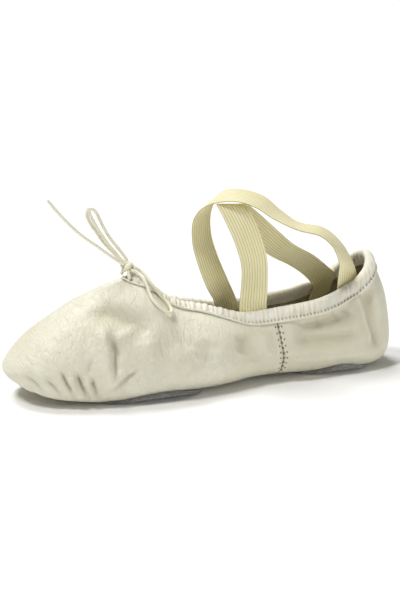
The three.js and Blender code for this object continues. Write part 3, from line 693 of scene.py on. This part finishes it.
def under_binding(ways, levels):
    """How much of a fold is left at each place: nearly none where the binding holds the wall flat."""
    return np.clip((levels * wall_lengths(ways) - 4.5) / 6, 0.1, 1)


def folded_skin(ways, levels, thickness):
    """The places of one skin of the leather, and its creases and hollows for the painted shade in its colour.
    """
    base, normal = surface(ways, levels), outward(ways, levels)
    depth, crease, hollow = fold_depths(base, thickness > 0)
    near_seam = np.exp(-((base[..., 0] - SEAM_X) / SEAM_WIDTH) ** 2) * (np.abs(base[..., 1]) > 5)
    pucker = 0.25 * np.exp(-((np.abs(base[..., 0] - SEAM_X) - 1.9) / 1.2) ** 2)
    low = np.clip((2.6 - levels) / 0.6, 0, 1)
    depth = depth + (SEAM_GROOVE * near_seam - pucker) * (levels > 0.1) + rumple(base)
    held = under_binding(ways, levels)
    depth = depth * held * low
    return base - normal * (depth + thickness)[..., None], crease * held, hollow * held


outer_skin, outer_crease, outer_hollow = folded_skin(ways, outer_levels, 0.0)
inner_skin, inner_crease, inner_hollow = folded_skin(ways, inner_levels, UPPER_LEATHER)
# The crease and hollow attributes darken the leather's colour as painted shade.
upper_piece = laid_sheet("upper_leather", np.concatenate([inner_skin, outer_skin], axis=1), {
    "crease": np.concatenate([inner_crease * 0, outer_crease], axis=1),
    "hollow": np.concatenate([inner_hollow * 0, outer_hollow], axis=1),
})
belongs(upper_piece, "leather", "upper")

# %% [markdown]
# Inside the leather is a cotton lining. Under the binding it is gathered into upright ripples, which flatten
# out towards the floor. A bump texture could fake them, but they catch the light at the collar, so the
# lining is a second, thinner shell just inside the first.

# %% Make the lining
LINING_DEPTHS = (1.05, 1.5)
lining_ways = ways_round(90, 110, 44)
lining_levels = np.concatenate([
    np.linspace(0.02, 1, 26, endpoint=False), np.linspace(1, 2, 8, endpoint=False), np.linspace(2, 3, 6),
])
RIPPLE_PITCH, RIPPLE_DEPTH = 4.4, 0.9


def gathers(run, below, period):
    """Uneven ripples along the collar, from 0 to 1."""
    lean = run + 0.18 * below
    wave = np.sin(2 * np.pi * lean / period + 1.2 * np.sin(2 * np.pi * run / (period * 5.3))
                  + 0.8 * np.sin(2 * np.pi * run / (period * 2.3) + 1.0))
    return 0.5 + 0.5 * wave


def rim_run(ways):
    return run_along(surface(ways, np.array([0.0]))[:, 0])


def lining_skin(inset, rippled):
    base, normal = surface(lining_ways, lining_levels), outward(lining_ways, lining_levels)
    depth = fold_depths(base, True)[0]
    low = np.clip((2.6 - lining_levels) / 0.6, 0, 1)
    held = under_binding(lining_ways, lining_levels)
    depth = (depth + rumple(base)) * held * low
    below = lining_levels * wall_lengths(lining_ways)
    fade = np.clip((below - 7.5) / 2.0, 0, 1) * np.clip(1.5 - below / 24, 0, 1) * (lining_levels < 1.2)
    ripple = gathers(rim_run(lining_ways)[:, None], below, RIPPLE_PITCH) * fade * RIPPLE_DEPTH * rippled
    return base - normal * (depth + inset + ripple)[..., None]


lining_out = lining_skin(LINING_DEPTHS[0], 0.0)
lining_in = lining_skin(LINING_DEPTHS[1], 1.0)
lining_piece = laid_sheet("lining", np.concatenate([lining_in[:, ::-1], lining_out], axis=1))
belongs(lining_piece, "sock")

# %% [markdown]
# The binding is a cotton tape folded over the edge, with the drawstring running in its fold. It is gathered,
# so small pleats cross it, and its lower edge is turned under into a thin bead. Its section is a closed
# loop of points, each with its length below the edge, its distance off the leather and its share of the
# gathers. A curve object could carry a fixed section round the collar, but the gathers change it at each
# step, so the section is laid on the last, one row after another.

# %% Make the binding
BINDING_SECTION = table(
    "below out ruche",
    (8.2, 0.35, 0), (8.35, 0.95, 0.1), (7.9, 1.45, 0.1), (7.3, 1.35, 0.2), (6.9, 0.9, 0.5), (6.2, 0.85, 0.8),
    (5.2, 1.25, 1), (4, 1.85, 1), (2.8, 2.15, 1), (1.6, 2.2, 0.9), (0.5, 1.95, 0.7), (-0.6, 1.35, 0.4),
    (-1.4, 0.5, 0.2), (-1.75, -0.6, 0.2), (-1.5, -1.6, 0.3), (-0.8, -2.3, 0.5), (0.4, -2.75, 0.8),
    (2, -2.85, 1), (4, -2.8, 1), (6, -2.65, 0.8), (7.4, -2.55, 0.4), (8.1, -2.4, 0.2),
    (8.1, -1.95, 0), (6, -1.85, 0), (3, -1.85, 0), (0, -1.85, 0), (-0.25, -0.8, 0),
    (-0.1, 0.3, 0), (2, 0.3, 0), (5, 0.3, 0),
)
RUCHE, CROWN_LIFT = 0.85, 0.15
PLEAT_PITCH, PLEAT_BLEND_PITCH = 3.3, 3.1
STITCH_BELOW, PIT_PITCH, PIT_DEPTH, PIT_REACH = 6.75, 2.3, 0.55, 0.75
binding_ways = ways_round(92, 310, 110)
section_points = np.stack([BINDING_SECTION[k] for k in ("below", "out", "ruche")], axis=1)
closed_section = np.vstack([section_points[-1:], section_points, section_points[:2]])
below, out, ruche = through(closed_section, 2 * len(closed_section) - 1)[2:-2].T
binding_lengths = wall_lengths(binding_ways)
run = rim_run(binding_ways)[:, None]
pleats = gathers(run, below * np.sign(out), PLEAT_PITCH) ** 0.8
pleats = pleats * (0.75 + 0.5 * gathers(run * 0.37 + 11.0, below, PLEAT_BLEND_PITCH))
beats = np.cos(2 * np.pi * run / run[-1] * round(run[-1, 0] / PIT_PITCH))
pits = (0.5 + 0.5 * beats) ** 4 * np.exp(-((below - STITCH_BELOW) / PIT_REACH) ** 2) * (out > 0.2)
puff = (pleats - 0.55) * RUCHE * ruche * np.where(out > -0.6, 1, -0.5) - PIT_DEPTH * pits
levels = (below - (pleats - 0.5) * CROWN_LIFT * (below < 0.6) * ruche) / binding_lengths
binding_places = surface(binding_ways, levels) + outward(binding_ways, levels) * (out + puff)[..., None]
# The pit attribute also darkens the tape's colour, as painted shade in the stitch pits.
binding_piece = laid_sheet("collar_tape", binding_places, {"pit": pits})
belongs(binding_piece, "binding", "collar_binding")

# %% [markdown]
# Thread shows as a row of short stitches just above the bead. One stitch is modelled from a small sphere,
# drawn out lengthways, and copied to its places round the collar. An Array modifier could repeat it, but not
# between the pits of the tape. A copy's mesh is its own, and all are joined into one piece.

# %% Sew the stitches
THREAD = 0.5


def stitch_row(name, places, directions, normals, length):
    deselect_all()
    bpy.ops.mesh.primitive_uv_sphere_add(segments=8, ring_count=6, radius=0.5)
    first = bpy.context.object
    count = len(first.data.vertices)
    shape = np.zeros(count * 3)
    first.data.vertices.foreach_get("co", shape)
    shape = shape.reshape(-1, 3) * (length, THREAD, THREAD)
    made = []
    for place, ahead, normal in zip(places, directions, normals):
        side = normalized(np.cross(normal, ahead))
        copy = first.copy()
        copy.data = first.data.copy()
        bpy.context.scene.collection.objects.link(copy)
        turned = shape[:, :1] * ahead + shape[:, 1:2] * side + shape[:, 2:] * np.cross(ahead, side)
        copy.data.vertices.foreach_set("co", ((place + turned) * MM).astype(np.float32).ravel())
        made.append(copy)
    bpy.data.objects.remove(first)
    deselect_all()
    for copy in made:
        copy.select_set(True)
    bpy.context.view_layer.objects.active = made[0]
    bpy.ops.object.join()
    piece = bpy.context.object
    piece.name = piece.data.name = name
    bpy.ops.object.shade_smooth()
    print(name, "stitches:", len(made))
    return belongs(piece, "string")


def spaced(line, normals, step, run=None):
    """Places, directions and normals at an even distance along a closed line, or along a run beside it."""
    if run is None:
        run = run_along(line)
    count = round(run[-1] / step)
    at = (np.arange(count) + 0.5) * run[-1] / count

    def pick(values):
        return np.stack([np.interp(at, run, values[:, k]) for k in range(3)], axis=1)

    return pick(line), normalized(pick(np.gradient(line, axis=0))), normalized(pick(normals))


STITCH_LIFT, STITCH_LENGTH = 0.75, 1.3
row_levels = STITCH_BELOW / binding_lengths
row_normals = outward(binding_ways, row_levels)[:, 0]
row_line = surface(binding_ways, row_levels)[:, 0] + row_normals * STITCH_LIFT
row = spaced(row_line, row_normals, PIT_PITCH, run[:, 0])
stitch_piece = stitch_row("collar_stitches", *row, STITCH_LENGTH)

# %% [markdown]
# The straps are woven elastic, sewn in under the binding and crossed over the instep. Each follows the
# centre line and the direction of width of its solid. Ribs run along it, and its edges are thinner. Bump
# alone could show the ribs, but real ones catch the light where the strap turns away.

# %% Make the straps
STRAP_WIDTH, STRAP_TUCK, STRAP_FOOT, STRAP_RISE, STRAP_GAP = 16.5, 14.0, 39.5, 66.0, 0.6
RIBS, RIB_HEIGHT = 10, 0.2
STRAP_ROWS, STRAP_COLUMNS = 300, 81
ROUTE = "along across up wide_x wide_y wide_z"
UNDER_STRAP = {
    "start": (1, 144.5), "end": (-1, 202.5), "turn": -1,
    "free": table(
        ROUTE,
        (0.615, -0.67, 0.04, -1, 0.14, 0), (0.617, -0.69, 0.17, -1, 0.1, -0.1),
        (0.616, -0.72, 0.42, -0.96, 0, -0.2), (0.601, -0.55, 0.65, -0.94, 0, -0.28),
        (0.583, -0.34, 0.825, -0.92, 0.1, -0.15), (0.575, -0.02, 0.905, -0.9, 0.2, 0.05),
        (0.593, 0.24, 0.87, -0.85, 0.35, -0.15), (0.632, 0.38, 0.74, -0.75, 0.45, -0.42),
        (0.684, 0.48, 0.575, -0.66, 0.5, -0.52), (0.735, 0.6, 0.43, -0.66, 0.55, -0.45),
        (0.79, 0.68, 0.32, -0.75, 0.45, -0.35), (0.835, 0.72, 0.2, -0.92, 0.2, -0.2),
    ),
}
OVER_STRAP = {
    "start": (-1, 137.5), "end": (1, 204.5), "turn": 1,
    "free": table(
        ROUTE,
        (0.578, 0.57, 0.04, 0.95, 0.28, 0), (0.558, 0.6, 0.19, 0.95, 0.28, 0.12),
        (0.542, 0.86, 0.38, 0.92, 0.36, 0.15), (0.531, 1.06, 0.58, 0.9, 0.42, 0.16),
        (0.53, 0.94, 0.79, 0.86, 0.48, 0.16), (0.55, 0.52, 0.945, 0.74, 0.6, 0.3),
        (0.592, 0, 0.985, 0.52, 0.75, 0.25), (0.639, -0.36, 0.935, 0.62, 0.72, 0.24),
        (0.682, -0.62, 0.815, 0.62, 0.75, 0.12), (0.729, -0.86, 0.715, 0.46, 0.88, 0.08),
        (0.785, -1.04, 0.66, 0.54, 0.83, 0.1), (0.826, -1.06, 0.54, 0.67, 0.74, 0),
        (0.857, -0.92, 0.37, 0.8, 0.58, -0.1), (0.87, -0.74, 0.23, 0.9, 0.35, -0.1),
    ),
}


def tucked_point(end, offset, below, turn):
    side, reach = end
    near = 1 + (TIP_X + reach + turn * offset * STRAP_WIDTH / 2 - BALL_X) / (HEEL_X - BALL_X)
    ways = np.array([near if side > 0 else 6 - near])
    levels = below / wall_lengths(ways)
    inset = LEATHER + GAP + CLOTH + STRAP_GAP + ELASTIC / 2
    return (surface(ways, levels) - outward(ways, levels) * inset)[0, 0]


def strap_columns(strap):
    """Both edges and the centre line of a strap, from where it is sewn in to where it is sewn in again."""
    free = strap["free"]
    centre = np.stack([TIP_X + free["along"] * LENGTH, free["across"] * COLLAR_WIDTH / 2,
                       STRAP_FOOT + free["up"] * STRAP_RISE], axis=1)
    wide = normalized(np.stack([free["wide_x"], free["wide_y"], free["wide_z"]], axis=1))
    columns = []
    for offset in (-1, 0, 1):
        start = [tucked_point(strap["start"], offset, s * STRAP_TUCK, strap["turn"]) for s in (1, 0.5, 0)]
        end = [tucked_point(strap["end"], offset, s * STRAP_TUCK, strap["turn"]) for s in (0, 0.5, 1)]
        points = np.vstack([start, centre + wide * offset * STRAP_WIDTH / 2, end])
        columns.append(through(points, STRAP_ROWS))
    return columns


def strap_piece(name, strap, stands_for):
    left, middle, right = strap_columns(strap)
    share = np.linspace(-1, 1, STRAP_COLUMNS)[None, :, None]
    bend = (left + right - 2 * middle)[:, None] / 2
    sheet = middle[:, None] + (right - left)[:, None] / 2 * share + bend * share ** 2
    normal = normalized(np.cross(np.gradient(sheet, axis=0), np.gradient(sheet, axis=1)))
    ribs = np.abs(np.sin(np.pi * RIBS * (share[0, :, 0] + 1) / 2)) ** 0.6
    edge = np.sqrt(np.clip(1 - np.abs(share[0, :, 0]) ** 24, 0, 1))
    half = (ELASTIC / 2 - RIB_HEIGHT * (1 - ribs)) * edge
    ends = np.ones(STRAP_ROWS)
    ends[[0, -1]] = 0
    thick = (half[None] * ends[:, None])[..., None]
    face, back_face = sheet + normal * thick, sheet - normal * thick
    loop = np.concatenate([face, back_face[:, ::-1]], axis=1)
    rib = np.concatenate([ribs, ribs[::-1]])[None].repeat(STRAP_ROWS, axis=0)
    print(name, "length in mm:", round(run_along(middle)[-1], 1))
    return belongs(laid_sheet(name, loop, {"rib": rib}), "elastic", stands_for)


under_piece = strap_piece("elastic_under", UNDER_STRAP, "strap_under")
over_piece = strap_piece("elastic_over", OVER_STRAP, "strap_over")

# %% [markdown]
# Two suede patches are sewn under the ball and the heel, and the leather is drawn in over them. Each patch
# is a disc of rings that hugs the underside, with a rounded cut edge and a channel for its stitches. A flat
# disc with a Shrinkwrap modifier could hug it too, but the rings put the channel exactly where it belongs.

# %% Make the sole patches
PATCHES = {
    "sole_forefoot": {"centre": TIP_X + 82.0, "front": 53.0, "back": 33.0, "across": 37.0},
    "sole_heel": {"centre": TIP_X + 196.0, "front": 31.0, "back": 25.0, "across": 25.5},
}
CHANNEL_INSET, CHANNEL_WIDTH, CHANNEL_DEPTH = 2.6, 0.9, 0.5
PATCH_TOP = GAP + 0.1
PATCH_STITCH, PATCH_PITCH = 2.4, 3.6


def patch_edge(patch, turn, inset):
    long = np.where(np.cos(turn) > 0, patch["back"], patch["front"]) - inset
    across = patch["across"] - inset
    dx, dy = unit(long * np.cos(turn), across * np.sin(turn))
    reach = oval(dx, dy, long, across, PATCH_POWER)
    return dx * reach, dy * reach


def patch_place(patch, turn, inset, out):
    edge_x, edge_y = patch_edge(patch, turn, inset)
    return off_underside(patch["centre"] + edge_x, edge_y, out)


def sole_patch(node, piece_name):
    patch = PATCHES[node]
    turn = np.linspace(0, 2 * np.pi, 241)
    insets = np.concatenate([[0, 0.15, 0.5, 1.1], np.linspace(1.7, 3.5, 9), np.linspace(4.2, 9.0, 8)])
    edge_x, edge_y = patch_edge(patch, turn, 9.0)
    rows = []
    for inset in insets:
        round_off = max(0.6 - inset, 0) ** 2 * 1.6
        channel = CHANNEL_DEPTH * math.exp(-((inset - CHANNEL_INSET) / (CHANNEL_WIDTH / 2)) ** 2)
        rows.append(patch_place(patch, turn, inset, STACK - round_off - channel))
    for share in (0.8, 0.6, 0.4, 0.2, 0.0):
        rows.append(off_underside(patch["centre"] + edge_x * share, edge_y * share, STACK))
    top = [off_underside(patch["centre"] + edge_x * share, edge_y * share, PATCH_TOP)
           for share in (0.0, 0.25, 0.5, 0.75, 1.0)]
    top += [patch_place(patch, turn, inset, PATCH_TOP) for inset in (6.0, 3.0, 1.0, 0.15)]
    piece = belongs(laid_sheet(piece_name, np.stack(top + rows, axis=1)), "suede", node)
    line = patch_place(patch, turn, CHANNEL_INSET, STACK - CHANNEL_DEPTH + 0.1)
    deeper = patch_place(patch, turn, CHANNEL_INSET, STACK + 1.0)
    row = spaced(line, deeper - line, PATCH_PITCH)
    return piece, stitch_row(piece_name + "_stitches", *row, PATCH_STITCH)


forefoot_piece, forefoot_thread = sole_patch("sole_forefoot", "suede_forefoot")
heel_piece, heel_thread = sole_patch("sole_heel", "suede_heel")

# %% [markdown]
# The insole is a cotton sock glued to the floor of the shoe. A cut copy of the lining could stand for it, but
# it is thicker, with a soft edge, so it is a closed sheet of its own that follows the floor.

# %% Make the insole
SOCK_MARGIN = 1.5
sock_ways = ways_round(70, 90, 34)
sock = {k: v[:, None] for k, v in section_at(sock_ways).items()}


def sock_skin(shares, height):
    """Places at shares of the way out to the sock's edge, at a height above the underside."""
    out = (sock["reach"] - sock["roll"] - SOCK_MARGIN) * shares
    return off_underside(sock["spine"] + sock["dx"] * out, sock["dy"] * out, -height)


sock_low = LEATHER + GAP
inner_shares = np.concatenate([np.linspace(0, 0.9, 14), [0.95]])
edge_shares = np.array([0.985, 0.997, 1.0, 1.0, 0.997, 0.985])
edge_heights = sock_low + SOCK * np.array([0.0, 0.08, 0.3, 0.7, 0.92, 1.0])
sock_places = np.concatenate([
    sock_skin(inner_shares, sock_low), sock_skin(edge_shares, edge_heights),
    sock_skin(inner_shares[::-1], sock_low + SOCK),
], axis=1)
insole_piece = belongs(laid_sheet("cotton_insole", sock_places), "sock", "insole")

# %% [markdown]
# Materials are sums and mixes of a few patterns. To write them as plain expressions, one small class wraps
# a socket and turns Python's operators into Math nodes. Any other node comes from its one method `node`,
# which takes the node's type, its settings and the values of its sockets.

# %% Shader expressions
class Wire:
    def __init__(self, tree, socket=None):
        self.tree, self.socket = tree, socket

    def node(self, kind, settings=None, out=0, **values):
        made = self.tree.nodes.new(kind)
        for key, value in (settings or {}).items():
            setattr(made, key, value)
        for key, value in values.items():
            socket = made.inputs[int(key[1:])] if key[1:].isdigit() else made.inputs[key.replace("_", " ")]
            if isinstance(value, Wire):
                self.tree.links.new(value.socket, socket)
            else:
                socket.default_value = value
        return Wire(self.tree, made.outputs[out])

    def math(self, operation, *others):
        values = {f"i{k}": value for k, value in enumerate((self, *others))}
        return self.node("ShaderNodeMath", {"operation": operation}, **values)

    def reflected(self, operation, other):
        return self.node("ShaderNodeMath", {"operation": operation}, i0=other, i1=self)

    def __add__(self, other): return self.math("ADD", other)
    def __radd__(self, other): return self.reflected("ADD", other)
    def __sub__(self, other): return self.math("SUBTRACT", other)
    def __rsub__(self, other): return self.reflected("SUBTRACT", other)
    def __mul__(self, other): return self.math("MULTIPLY", other)
    def __rmul__(self, other): return self.reflected("MULTIPLY", other)
    def __pow__(self, other): return self.math("POWER", other)

    def between(self, low, high):
        """0 below low, 1 above high and a soft rise between."""
        return self.node("ShaderNodeMapRange", {"interpolation_type": "SMOOTHSTEP"},
                         Value=self, From_Min=low, From_Max=high)

    def mixed(self, first, second):
        """A colour from first to second as this value goes from 0 to 1."""
        return self.node("ShaderNodeMix", {"data_type": "RGBA"}, out=2, i0=self, i6=first, i7=second)


def rgb(red, green, blue):
    """A colour as it looks on a screen, 0 to 255, turned into linear light."""
    linear = [((c / 255 + 0.055) / 1.055) ** 2.4 if c > 10 else c / 255 / 12.92 for c in (red, green, blue)]
    return (*linear, 1.0)


class Finish:
    """A material being made: its coordinates, and the shader that takes the results."""

    def __init__(self, name, roughness, **uniform):
        self.material = bpy.data.materials.new(name)
        self.material.use_nodes = True
        tree = self.material.node_tree
        self.shader = tree.nodes["Principled BSDF"]
        self.shader.inputs["Roughness"].default_value = roughness
        for key, value in uniform.items():
            self.shader.inputs[key.replace("_", " ")].default_value = value
        self.wire = Wire(tree)
        self.object = self.wire.node("ShaderNodeTexCoord", out=3)
        self.uv = self.wire.node("ShaderNodeTexCoord", out=2)

    def noise(self, scale, detail=2.0, stretch=None, where=None, distortion=0.0):
        where = where or self.object
        if stretch:
            where = self.wire.node("ShaderNodeMapping", Vector=where, Scale=stretch)
        return self.wire.node("ShaderNodeTexNoise", Vector=where, Scale=scale, Detail=detail,
                              Distortion=distortion)

    def parts(self, vector):
        return [self.wire.node("ShaderNodeSeparateXYZ", out=k, Vector=vector) for k in range(3)]

    def attribute(self, name):
        return self.wire.node("ShaderNodeAttribute", {"attribute_name": name}, out=2)

    def finish(self, color, height=None, strength=0.3, distance=0.0004, roughness=None):
        links = self.wire.tree.links
        if isinstance(color, Wire):
            links.new(color.socket, self.shader.inputs["Base Color"])
        else:
            self.shader.inputs["Base Color"].default_value = color
        if height is not None:
            bump = self.wire.node("ShaderNodeBump", Height=height, Strength=strength, Distance=distance)
            links.new(bump.socket, self.shader.inputs["Normal"])
        if roughness is not None:
            links.new(roughness.socket, self.shader.inputs["Roughness"])
        print("material:", self.material.name, "nodes:", len(self.wire.tree.nodes))
        return self.material


def dress(piece, material):
    piece.data.materials.clear()
    piece.data.materials.append(material)


# %% [markdown]
# The leather is a fine, soft, cream glove leather. Its colour drifts a little, and painted shade makes it
# darker in the broad hollows and darker and greyer down in the creases. It has a close grain with short fine
# wrinkles.
# These could be modelled, but they are finer than the mesh, so they are bump. The stitch holes beside the
# side seam are dark dots in two rows, placed by x and z, with a dotted seam between.

# %% Leather
leather = Finish("cream_leather", 0.52, Sheen_Weight=0.15, Sheen_Roughness=0.5, Coat_Roughness=0.45,
                 Coat_Weight=0.06)
x, y, z = leather.parts(leather.object)
drift = leather.noise(26.0, 3.0)
mottle = leather.noise(140.0, 4.0)
color = drift.between(0.35, 0.7).mixed(rgb(232, 230, 211), rgb(225, 221, 199))
color = (mottle.between(0.45, 0.75) * 0.4).mixed(color, rgb(216, 211, 187))
crease = leather.attribute("crease")
# Painted shade: the broad hollows of the folds are darkened towards a dull cream.
color = (leather.attribute("hollow") * 0.55).mixed(color, rgb(203, 195, 168))
# Painted shade: the narrow creases are darkened towards a dark olive grey.
color = (crease * 0.6).mixed(color, rgb(132, 124, 96))
HOLE_ROW = 1.9
from_seam = (x - SEAM_X * MM).math("ABSOLUTE") * 1000.0
on_sides = z.between(3 * MM, 6 * MM) * (1 - z.between(34 * MM, 36 * MM))


def dots(across, pitch, radius):
    """Round marks at an even pitch up the sides, at a distance from the seam in mm."""
    beat = ((z * (1000 / pitch)).math("FRACT") - 0.5) * pitch
    away = ((from_seam - across) ** 2.0 + beat ** 2.0).math("SQRT")
    return (1 - away.between(radius * 0.7, radius * 1.25)) * on_sides


holes = dots(HOLE_ROW, 3.3, 0.5).math("MAXIMUM", dots(0.0, 2.7, 0.8))
seam_line = (1 - from_seam.between(0.15, 0.5)) * on_sides
color = (holes * 0.85).math("MAXIMUM", seam_line * 0.7).mixed(color, rgb(84, 76, 56))
pores = leather.wire.node("ShaderNodeTexVoronoi", {"feature": "F1"}, Vector=leather.object, Scale=1500.0)
fine = leather.noise(700.0, 4.0)
wrinkles = leather.noise(420.0, 3.0, stretch=(1.0, 0.45, 0.45), distortion=0.9)
worked = (1 - x.between(-20 * MM, 40 * MM)) * 0.5 + 0.5
height = pores * 0.2 + fine * 0.4 + wrinkles.between(0.3, 0.7) * worked * 1.1 - holes * 1.5
roughness = 0.46 + mottle * 0.16
leather_material = leather.finish(color, height, 0.5, 0.0006, roughness)
dress(upper_piece, leather_material)

# %% [markdown]
# The other fabrics: the tape of the binding, the cotton lining and insole, the ribbed elastic, the string
# and the suede. Woven ones take their threads from the UV map, which is in millimetres. Threads in Object
# coordinates would be simpler, but they would slide over the turns of a strap or a cord.

# %% Cloth finishes
def sine(value, pitch):
    """A wave across a value in mm, from -1 to 1."""
    return (value * (2 * math.pi / pitch)).math("SINE")


def woven(name, light, dark, pitch, shade_in_pits=False):
    """Plain weave, which drifts from light to dark. When asked, painted shade makes its stitch pits darker
    still.
    """
    cloth = Finish(name, 0.85, Sheen_Weight=0.2)
    u, v, _ = cloth.parts(cloth.uv)
    weave = sine(u, pitch) * sine(v, pitch) * 0.5 + 0.5
    color = cloth.noise(60.0, 3.0).between(0.3, 0.75).mixed(light, dark)
    color = ((1 - weave) * 0.35).mixed(color, dark)
    if shade_in_pits:
        # Painted shade: the stitch pits of the tape are darkened to a deep brown.
        color = (cloth.attribute("pit") * 0.85).mixed(color, rgb(96, 86, 62))
    return cloth.finish(color, weave + cloth.noise(900.0, 2.0) * 0.6, 0.4, 0.00025)


tape_material = woven("cotton_tape", rgb(250, 248, 238), rgb(234, 229, 210), 0.7, shade_in_pits=True)
lining_material = woven("cotton_lining", rgb(186, 178, 150), rgb(142, 132, 100), 0.8)
sock_material = woven("cotton_sock", rgb(214, 206, 182), rgb(182, 172, 142), 0.9)
dress(binding_piece, tape_material)
dress(lining_piece, lining_material)
dress(insole_piece, sock_material)

elastic = Finish("ribbed_elastic", 0.7, Sheen_Weight=0.25)
u, v, _ = elastic.parts(elastic.uv)
picks = sine(v, 0.75) * 0.5 + 0.5
color = elastic.noise(40.0, 2.0).between(0.3, 0.7).mixed(rgb(247, 240, 200), rgb(238, 230, 184))
color = (1 - elastic.attribute("rib").between(0.1, 0.75)).mixed(color, rgb(196, 187, 132))
elastic_material = elastic.finish(color, picks * 0.6 + elastic.noise(1100.0, 2.0) * 0.5, 0.4, 0.00025)
for piece in (under_piece, over_piece):
    dress(piece, elastic_material)

cord = Finish("cotton_string", 0.75, Sheen_Weight=0.2)
u, v, _ = cord.parts(cord.uv)
braid = sine(v + u * 0.9, 1.5).math("MAXIMUM", sine(v - u * 0.9, 1.5)) * 0.5 + 0.5
color = (1 - braid).mixed(rgb(251, 248, 228), rgb(226, 220, 190))
string_material = cord.finish(color, braid + cord.noise(1500.0, 2.0) * 0.3, 0.5, 0.0003)
for piece in (*string_pieces, stitch_piece, forefoot_thread, heel_thread):
    dress(piece, string_material)

suede = Finish("grey_suede", 0.95, Sheen_Weight=0.5, Sheen_Roughness=0.6)
nap = suede.noise(520.0, 5.0)
brush = suede.noise(70.0, 3.0, stretch=(0.4, 1.0, 1.0))
color = (nap * 0.5 + brush * 0.5).between(0.35, 0.68).mixed(rgb(104, 103, 101), rgb(150, 149, 145))
suede_material = suede.finish(color, nap, 0.6, 0.0005)
for piece in (forefoot_piece, heel_piece):
    dress(piece, suede_material)

# %% [markdown]
# The stage is a plain white floor in a white room. A very broad light from above and behind makes the top
# bright and lays the shadow close in front. A narrower one rakes over the side from the toe's end, so that
# the folds show, and a low, broad one in front lights the side without filling the shadow. Area lamps could
# do the same, but sun lamps light the floor evenly, so it stays white to its edge.

# %% Floor and light
deselect_all()
bpy.ops.mesh.primitive_plane_add(size=6.0)
floor_piece = bpy.context.object
floor_piece.name = "floor"
dress(floor_piece, Finish("white_floor", 0.9).finish(rgb(248, 248, 248)))

world = bpy.data.worlds.new("white_room")
world.use_nodes = True
world.node_tree.nodes["Background"].inputs["Color"].default_value = (1.0, 1.0, 1.0, 1.0)
world.node_tree.nodes["Background"].inputs["Strength"].default_value = 0.08
bpy.context.scene.world = world


def sun(name, toward, energy, spread, color=(1.0, 1.0, 1.0)):
    item = bpy.data.objects.new(name, bpy.data.lights.new(name, "SUN"))
    item.data.energy, item.data.angle, item.data.color = energy, math.radians(spread), color
    item.rotation_euler = Vector(toward).to_track_quat("-Z", "Y").to_euler()
    bpy.context.scene.collection.objects.link(item)
    print(name, "strength:", energy)


sun("broad_light", (0.12, -0.55, -1.0), 2.1, 26)
sun("raking_light", (0.50, 0.02, -1.0), 1.7, 14, (1.0, 0.99, 0.96))
sun("front_light", (-0.40, 0.92, -0.17), 1.0, 50, (1.0, 0.985, 0.94))
bpy.context.scene.view_settings.view_transform = "Standard"
bpy.context.scene.view_settings.look = "None"
